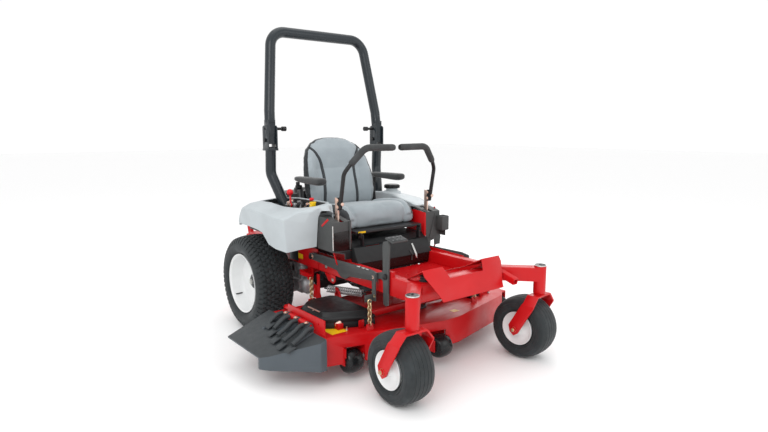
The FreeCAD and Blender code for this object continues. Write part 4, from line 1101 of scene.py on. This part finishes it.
def seat_back():
    """Raked backrest: crowned insert between two bolsters, dark bands and dark flanks."""
    stations = (
        # height, middle y, half width, half depth
        (686, -204, 168, 22), (708, -206, 205, 36), (760, -208, 236, 48), (830, -203, 252, 53),
        (900, -190, 252, 54), (960, -173, 243, 53), (1020, -151, 228, 50), (1070, -129, 202, 45),
        (1105, -112, 163, 38), (1130, -101, 112, 26), (1141, -96, 60, 12),
    )
    sections = [(at(0, y, z), half, deep, ACROSS, (0, 0.95, 0.31), 0.6)
                for z, y, half, deep in stations]
    made = inflate(form("backrest", sections), 0.008)
    for vertex in made.data.vertices:
        x, y, z = vertex.co - FOOTPRINT_SHIFT
        front = y < -0.16 + max(0, z - 0.83) * 0.3
        if front and abs(x) < 0.2:
            fade = min(1, max(0, (1.08 - z) / 0.12))
            vertex.co.y += 0.040 * fade * min(1, (0.2 - abs(x)) / 0.05)
    band = [(1140, 196), (1095, 180), (1050, 148), (1000, 124), (930, 114), (850, 116), (770, 120),
            (700, 118)]
    edge = [(1112, 150), (1076, 186), (1020, 216), (960, 232), (900, 242), (830, 243), (762, 228),
            (712, 196)]

    def traced(line, sign, shift=0):
        origins = [at(sign * (x + shift), -420, z) for z, x in line]
        return on_surface(made, dense(origins, 6))

    seams = [traced(band[1:], sign, shift) for sign in (1, -1) for shift in (-11, 11)]
    rim = [traced(edge, sign) for sign in (1, -1)]
    press_seams(made, seams, 0.006, 0.004)
    subdivide(made, 1)
    rear = [(690, -196), (760, -198), (830, -192), (900, -180), (960, -165), (1020, -150),
            (1070, -138), (1105, -126), (1141, -108)]
    made.name = "seat_back_cushion"
    dress(made, two_tone("backrest_vinyl", band[::-1], rear), "seat", ["seat_back"], 80)
    for n, line in enumerate(rim):
        dress(rope(f"back_piping_{n}", smooth_line(line), 3.4, sides=4), PIPING, "seat")


def smooth_line(line):
    for _ in range(3):
        inner = [(a + b * 2 + c) / 4 for a, b, c in zip(line, line[1:], line[2:])]
        line = [line[0], *inner, line[-1]]
    return line


def seat_cushion():
    """Cushion: a broad front roll between two bolsters that wrap down at the corners."""
    stations = (
        # y, middle height, half width, half height
        (-619, 706, 160, 38), (-612, 708, 178, 50), (-594, 712, 188, 58), (-560, 715, 192, 62),
        (-500, 714, 192, 60), (-420, 706, 192, 52), (-340, 704, 190, 50), (-262, 702, 186, 46),
    )
    parts = [form("middle", [(at(0, y, z), half, tall, ACROSS, UP, 0.36)
                             for y, z, half, tall in stations])]
    for sign in (1, -1):
        path = dense([at(sign * x, y, z) for x, y, z in (
            (212, -268, 716), (213, -360, 728), (213, -460, 736), (213, -530, 734),
            (212, -576, 716), (211, -588, 694))], 5)
        parts.append(rope("bolster", path, 39, sides=6))
        parts.append(form("foot", [(at(sign * 210, y, 690), 38, tall, ACROSS, UP, 0.6)
                                   for y, tall in ((-614, 26), (-600, 36), (-500, 38), (-300, 36),
                                                   (-262, 28))]))
    made = inflate(joined("cushion", parts), 0.006)
    made.modifiers.new("even", "SMOOTH").iterations = 3
    bake_modifiers(made)
    tinted(subdivide(made, 1), SEAT_GREY).data.materials.append(SEAT_DARK)
    # Faces on the bolsters' outer flanks, on the underside and at the rear end take the darker
    # vinyl.
    for face in made.data.polygons:
        x = face.center.x - FOOTPRINT_SHIFT.x
        flank = abs(x) > 0.19 and face.normal.x * x > abs(x) * 0.22 and face.normal.z < 0.8
        low = face.center.z < 0.659 or face.center.y > 0.164
        face.material_index = 1 if low or flank else 0
    made.name = "seat_cushion_cover"
    dress(made, None, "seat", ["seat_cushion"], 80)


def armrests():
    """Padded folding armrests on their hinge hubs."""
    stations = (
        # y, middle height, half width, half height
        (-462, 907, 15, 8), (-456, 907, 25, 17), (-442, 906, 30, 22), (-410, 903, 31, 23),
        (-330, 905, 30, 21), (-250, 904, 28, 19), (-180, 906, 26, 16), (-162, 907, 15, 8),
    )
    for side, sign in SIDES:
        sections = [(at(sign * 284, y, z), half, tall, ACROSS, UP, 0.72)
                    for y, z, half, tall in stations]
        hub = lathe("hub", [(-11, 6.1), (-11, 13), (-9, 15), (9, 15), (11, 13), (11, 6.1)],
                    at(sign * 282, -175, 856), ACROSS, 40)
        web = block("web", (sign * 282 - 8, -187, 864), (sign * 282 + 8, -163, 886), 3)
        parts = [tinted(subdivide(form("pad", sections, 16)), ARM_PAD),
                 tinted(hub, BLACK_PLASTIC), tinted(web, BLACK_PLASTIC)]
        made = assemble("armrest_pad_" + side, parts, "armrest_" + side,
                        ["armrest_" + side], 50)


# ---------------------------------------------------------------- levers
def bent(corners, radius, steps=8):
    """A path through the corners with each inner corner rounded to one radius."""
    path = [corners[0]]
    for before, here, after in zip(corners, corners[1:], corners[2:]):
        back, ahead = (before - here).normalized(), (after - here).normalized()
        half = back.angle(ahead) / 2
        reach = radius * MM / math.tan(half)
        middle = here + (back + ahead).normalized() * (radius * MM / math.sin(half))
        start = (here + back * reach - middle).normalized()
        end = (here + ahead * reach - middle).normalized()
        for n in range(steps + 1):
            path.append(middle + start.slerp(end, n / steps) * radius * MM)
    return path + [corners[-1]]


def levers():
    """Control levers: plated stems, bent black bars with foam grips, clamp bolts."""
    for side, sign in SIDES:
        refine("lever_stem_" + side, COPPER_ZINC, 0.8)
        body, x = "lap_bar_" + side, sign * 317
        path = bent([at(x, -668, 782), at(sign * 316, -705, 969), at(sign * 293, -718, 1005),
                     at(sign * 209, -748, 1100), at(sign * 24, -750, 1098)], 62)
        clamp = block("clamp", (x - 12, -668, 776), (x + 12, -656, 842), 1.2)
        parts = [tinted(part, BLACK_STEEL) for part in (rope("bar", path, 11, sides=8), clamp)]
        assemble("lever_bar_" + side, parts, body, ["lever_tube_" + side])
        rounded = bent([at(sign * 284.6, -721, 1014.5), at(sign * 209, -748, 1100),
                        at(sign * 20, -750, 1098)], 62, 14)
        path = []
        for a, b in zip(rounded, rounded[1:]):
            count = max(1, int((b - a).length / 0.006))
            path += [a + (b - a) * (n / count) for n in range(count)]
        made = sleeve("foam_grip_" + side, path + [rounded[-1]], 11.3, 18.2)
        dress(made, FOAM, body, ["lever_grip_" + side])
        spots = [at(304.6 if sign > 0 else -329.4, -662, z) for z in (792, 828)]
        bolts("lap_bar_bolts_" + side, spots, (-1, 0, 0), body, radius=6, height=5,
              look=COPPER_ZINC)


def sleeve(name, path, inner, outer, around=28):
    """A soft tube with a rounded lip at both ends, hollow for the bar inside it."""
    last = len(path) - 1
    profile = []
    for n, place in enumerate(path):
        ahead = (path[min(n + 1, last)] - path[max(n - 1, 0)]).normalized()
        edge = min(n, last - n)
        radius = outer - (3.2 if edge == 0 else 1.0 if edge == 1 else 0)
        profile.append((place, ahead, radius + 0.35 * noise.noise(place * 60)))
    rings = profile + [(place, ahead, inner) for place, ahead, _ in profile[::-1]]
    points = []
    for place, ahead, radius in rings:
        side = ahead.cross(Vector((0, 1, 0))).normalized()
        other = side.cross(ahead)
        for k in range(around):
            turn = 2 * math.pi * k / around
            points.append(place + (side * math.cos(turn) + other * math.sin(turn)) * radius * MM)
    return face_out(mesh_object(name, points, ring_faces(len(rings), around, True)))


# ---------------------------------------------------------------- deck
def belt_covers():
    """Moulded covers: a low skirt, a stepped rim and a raised lid."""
    outline = [(-560, -640), (-550, -835), (-510, -868), (-350, -940), (-295, -940), (-295, -600),
               (-320, -565), (-470, -565), (-510, -590)]
    middle = (-425, -745)
    # height, and the outline's scale there
    levels = ((228, 1.0), (250, 0.99), (252, 0.985), (262, 0.975), (264, 1.0), (276, 0.995),
              (280, 0.965), (283, 0.90), (300, 0.86), (305, 0.82), (305, 0.5))
    count = len(outline)
    for n, flip in enumerate((1, -1)):
        points = []
        for z, scale in levels:
            for corner in outline:
                x, y = (m + (c - m) * scale for m, c in zip(middle, corner))
                points.append(at(x if flip > 0 else 100 - x, y, z))
        lid = tuple(range(len(points) - count, len(points)))
        shell = face_out(mesh_object("cover", points, ring_faces(len(levels), count) + [lid]))
        soften(thicken(shell, 0.003), 0.0022, 2, 25)
        assemble(f"belt_cover_finished_{n}", [tinted(shell, BLACK_PLASTIC)], "deck",
                 ["belt_covers"] if n == 0 else (), 30)
    knob = form("cover_latch", [(at(-540 + 18 * k, -742 - 3 * k, 296 + 1.5 * k),
                                 15 - 2 * abs(k - 1), 5 + 2 * (k == 1), (0, 1, 0), UP, 0.8)
                                for k in range(3)], 16)
    dress(subdivide(knob, 1), COPPER_ZINC, "deck")


def chute():
    """Deflector: dark roof over bluish side walls, bent struts with feet, hinge bolts."""
    roof = refine("discharge_chute", CHUTE_SIDE, 2.2)
    roof.data.materials.append(CHUTE_TOP)
    for face in roof.data.polygons:
        if face.normal.z > 0.35:
            face.material_index = 1
    heads = [at(-635, y, 279) for y in (-840, -740, -640)]
    bolts("chute_bolts", heads, UP, "discharge_chute", radius=7, height=6,
          look=COPPER_ZINC)
    struts = []
    for y, reach in ((-618, 712), (-690, 742), (-765, 762), (-842, 772), (-912, 766)):
        path = dense([at(-634, y + 14, 268), at(-664, y + 12, 266), at(-700, y + 5, 246),
                      at(-reach + 12, y - 3, 246 - (reach - 700) * 0.36)], 6)
        struts.append(tinted(rope("strut", path, 11, sides=3), CHUTE_TOP))
        foot = form("foot", [(at(-reach + dx, y - 4, 250 - (reach - dx - 650) * 0.4), 20, tall,
                              (0, 1, 0), (0.37, 0, 0.93), 0.5)
                             for dx, tall in ((-20, 4), (-14, 9), (10, 10), (18, 4))], 16)
        struts.append(tinted(foot, CHUTE_TOP))
    assemble("chute_struts", struts, "discharge_chute", (), 50)


def chains():
    """Twisted-link lift chains in gold zinc."""
    for side, sign in SIDES:
        for tag, y in (("front", -992), ("rear", -452)):
            links = []
            for step in range(8):
                path = []
                for n in range(24):
                    turn = 2 * math.pi * n / 24
                    wide, tall = 9.6 * math.cos(turn), 11.6 * math.sin(turn)
                    dx, dy = (0, wide) if step % 2 else (wide, 0)
                    path.append(at(sign * 370 + dx, y + dy, 369 - step * 15.5 + tall))
                links.append(tinted(rope("link", path, 3.3, cyclic=True, sides=3), GOLD_ZINC))
            replaced = ["lift_chains"] if (sign, tag) == (1, "front") else ()
            assemble(f"chain_{tag}_{side}", links, "deck", replaced)


def deck_rollers():
    """Glossy ball-shaped anti-scalp rollers."""
    for side, place, wide in (("right", (-465, -968, 90), 94), ("center", (-30, -1133, 110), 94),
                              ("left", (747, -862, 105), 54)):
        half = wide / 2
        profile = [(-half, 7), (-half, 26), (-half + 1, 34)]
        for n in range(13):
            turn = math.pi * n / 12
            profile.append((-(half - 1) * math.cos(turn), 34 + 25.8 * math.sin(turn) ** 0.7))
        profile += [(half - 1, 34), (half, 26), (half, 7)]
        made = lathe("ball_roller_" + side, profile, at(*place), ACROSS, 64)
        dress(made, ROLLER_BLACK, "roller_" + side, ["roller_" + side])


def deck_hardware():
    """Brackets, latches, wing knobs and grease nipples around the belt covers."""
    parts = []
    for sign in (1, -1):
        x = 50 + sign * 520
        low, high = sorted((x - sign * 6, x + sign * 26))
        parts.append(tinted(block("bracket", (low, -905, 228), (high, -868, 258), 3), RED))
        wing = form("wing", [(at(x + sign * (30 - 16 * n), -880 - 4 * n, 250 + 4 * n), 5 + 5 * n,
                              9 + 3 * n, (0, 1, 0), UP, 0.9) for n in range(3)], 16)
        parts.append(tinted(subdivide(wing, 1), COPPER_ZINC))
        low, high = sorted((50 + sign * 418, 50 + sign * 450))
        parts.append(tinted(block("tab", (low, -946, 228), (high, -938, 268), 3), RED))
        nipple = lathe("nipple", [(0, 0), (0, 7), (6, 7), (7, 4), (16, 3.4), (19, 4.6), (21, 0)],
                       at(50 + sign * 512, -928, 228), UP, 16)
        parts.append(tinted(nipple, ZINC))
        slit = block("slit", (-5, -55, 304), (5, 55, 306), 1)
        edge = block("lip", (-9, -56, 304), (-4, 52, 309), 1)
        for part, look in ((slit, PIPING), (edge, COPPER_ZINC)):
            part.data.transform(Matrix.Translation(at(50 + sign * 584, -752, 0) - at(0, 0, 0)))
            parts.append(tinted(part, look))
    ends = [at(-596, y, 284) for y in (-572, -906)]
    parts.append(tinted(rope("hinge_bar", ends, 9), RED))
    parts += [bolt(end, (0, -1, 0), 12, 12, 1.2, RED) for end in ends]
    parts.append(tinted(block("deck_cross_bar", (-300, -872, 240), (420, -846, 272), 3), RED))
    for x, y in ((-262, -560), (-292, -385)):
        plate = slab("gusset", [(-48, 226), (44, 226), (36, 306), (-10, 306)], 5,
                     lambda u, v, w: at(x + w, y + u, v), 1)
        parts.append(tinted(plate, RED))
    assemble("cover_brackets", parts, "deck")


# ---------------------------------------------------------------- power unit
def belt_spring():
    """The belt tension spring on its rod."""
    turns, steps = 19, 19 * 16
    start, end = at(-272, -468, 302), at(-176, -672, 302)
    _, side, other = square_to(end - start)
    coil = []
    for n in range(steps + 1):
        t = n / steps
        turn = 2 * math.pi * turns * t
        coil.append(start + (end - start) * t
                    + (side * math.cos(turn) + other * math.sin(turn)) * 0.0185)
    parts = [tinted(rope("coil", coil, 3.3, sides=2), SPRING_GREY),
             tinted(rope("rod", [at(-281, -448, 302), at(-167, -690, 302)], 5), DARK_CAST)]
    assemble("belt_tension_spring", parts, CHASSIS, ["assist_spring"], 60)


def machinery():
    """Castings, hoses and brackets seen between the frame rail and the deck."""
    parts = []

    def add(made, look):
        parts.append(tinted(made, look))

    dome = [(0, 0), (0, 58), (14, 58), (18, 50), (40, 47), (58, 38), (70, 22), (74, 0)]
    case = [(-44, 0), (-44, 40), (-30, 52), (-12, 56), (-8, 62), (0, 62), (4, 56), (24, 50),
            (38, 36), (44, 22), (60, 20), (60, 0)]
    plates = (("hanger", [(-478, 404), (-424, 404), (-430, 352), (-462, 352)], 6, 302, BLACK_STEEL),
              ("ear", [(-590, 404), (-486, 404), (-520, 366), (-572, 356), (-592, 372)], 5, 303,
               RED))
    for sign in (1, -1):
        add(lathe("pump_dome", dome, at(sign * 262, -176, 296), UP, 40), CAST)
        add(lathe("pump_case", flipped(case, sign), at(sign * 262, -212, 272), ACROSS, 32), CAST)
        for n in range(6):
            turn = math.pi * 2 * n / 6
            spot = at(sign * 266, -212 + 57 * math.cos(turn), 272 + 57 * math.sin(turn))
            parts.append(bolt(spot, (sign, 0, 0), 5, 5, 1.5))
        for n in range(3):
            hose = dense([at(sign * (250 - 22 * n), -215, 330 + 8 * n),
                          at(sign * (230 - 30 * n), -300, 372 + 6 * n),
                          at(sign * (215 - 40 * n), -400, 340 + 14 * n),
                          at(sign * (170 - 50 * n), -500, 352 - 8 * n)], 8)
            add(rope("hose", hose, 8 - n, sides=4), RUBBER)
        for name, outline, thick, face, look in plates:
            add(slab(name, outline, thick, lambda u, v, w: at(sign * (face - w), u, v)), look)
        parts.append(bolt(at(sign * 304, -570, 378), (sign, 0, 0), 7, 6, 1.5))
        tail = dense([at(sign * x, y, z) for x, y, z in (
            (336, -985, 388), (305, -945, 398), (275, -905, 388), (262, -870, 372))], 6)
        add(rope("return_spring", tail, 5.5, sides=3), GOLD_ZINC)
    add(block("belly_plate", (-238, -262, 242), (238, -250, 336), 3), DARK_GREY)
    add(block("cross_plate", (-150, -72, 240), (150, -62, 404), 2), BLACK_STEEL)
    add(block("idler_frame", (-232, -700, 352), (232, -664, 400), 4), BLACK_STEEL)
    for x, y, radius in ((-120, -560, 46), (110, -430, 52), (-40, -330, 62)):
        wheel = [(0, 0), (0, radius), (3, radius), (8, radius - 7), (13, radius), (16, radius),
                 (16, 14), (24, 12), (24, 0)]
        add(lathe("idler", wheel, at(x, y, 318), UP, 36), DARK_CAST)
        add(block("arm", (x - 16, y - 14, 340), (x + 16, y + 120, 352), 3), BLACK_STEEL)
    belt = [at(x, y, 326) for x, y in ((-166, -560), (-74, -570), (60, -440), (160, -420),
                                       (110, -378), (20, -300), (-100, -320))]
    add(rope("drive_belt", belt, 6, cyclic=True, sides=2), BELT)
    assemble("underframe_parts", parts, CHASSIS, (), 40)


def carry_over():
    """Give every CAD node that is still shown its finish."""
    for name, held in frame["nodes"].items():
        if held.hide_render:
            continue
        tinted(held, BLACK_STEEL if name.startswith("rops_pin") else SLOT_LOOK[NODE_SLOT[name]])
        smooth(held, 30)


def main():
    camera_and_light()
    for side, sign in SIDES:
        rear_tyre(side, sign)
        rear_rim(side, sign)
        caster_wheel(side, sign)
        caster_fork(side, sign)
        fender(side, sign)
    chassis_frame()
    isolators()
    floor_and_labels()
    towers()
    controls()
    seat_back()
    seat_cushion()
    armrests()
    levers()
    belt_covers()
    chute()
    chains()
    deck_rollers()
    deck_hardware()
    belt_spring()
    machinery()
    carry_over()


main()
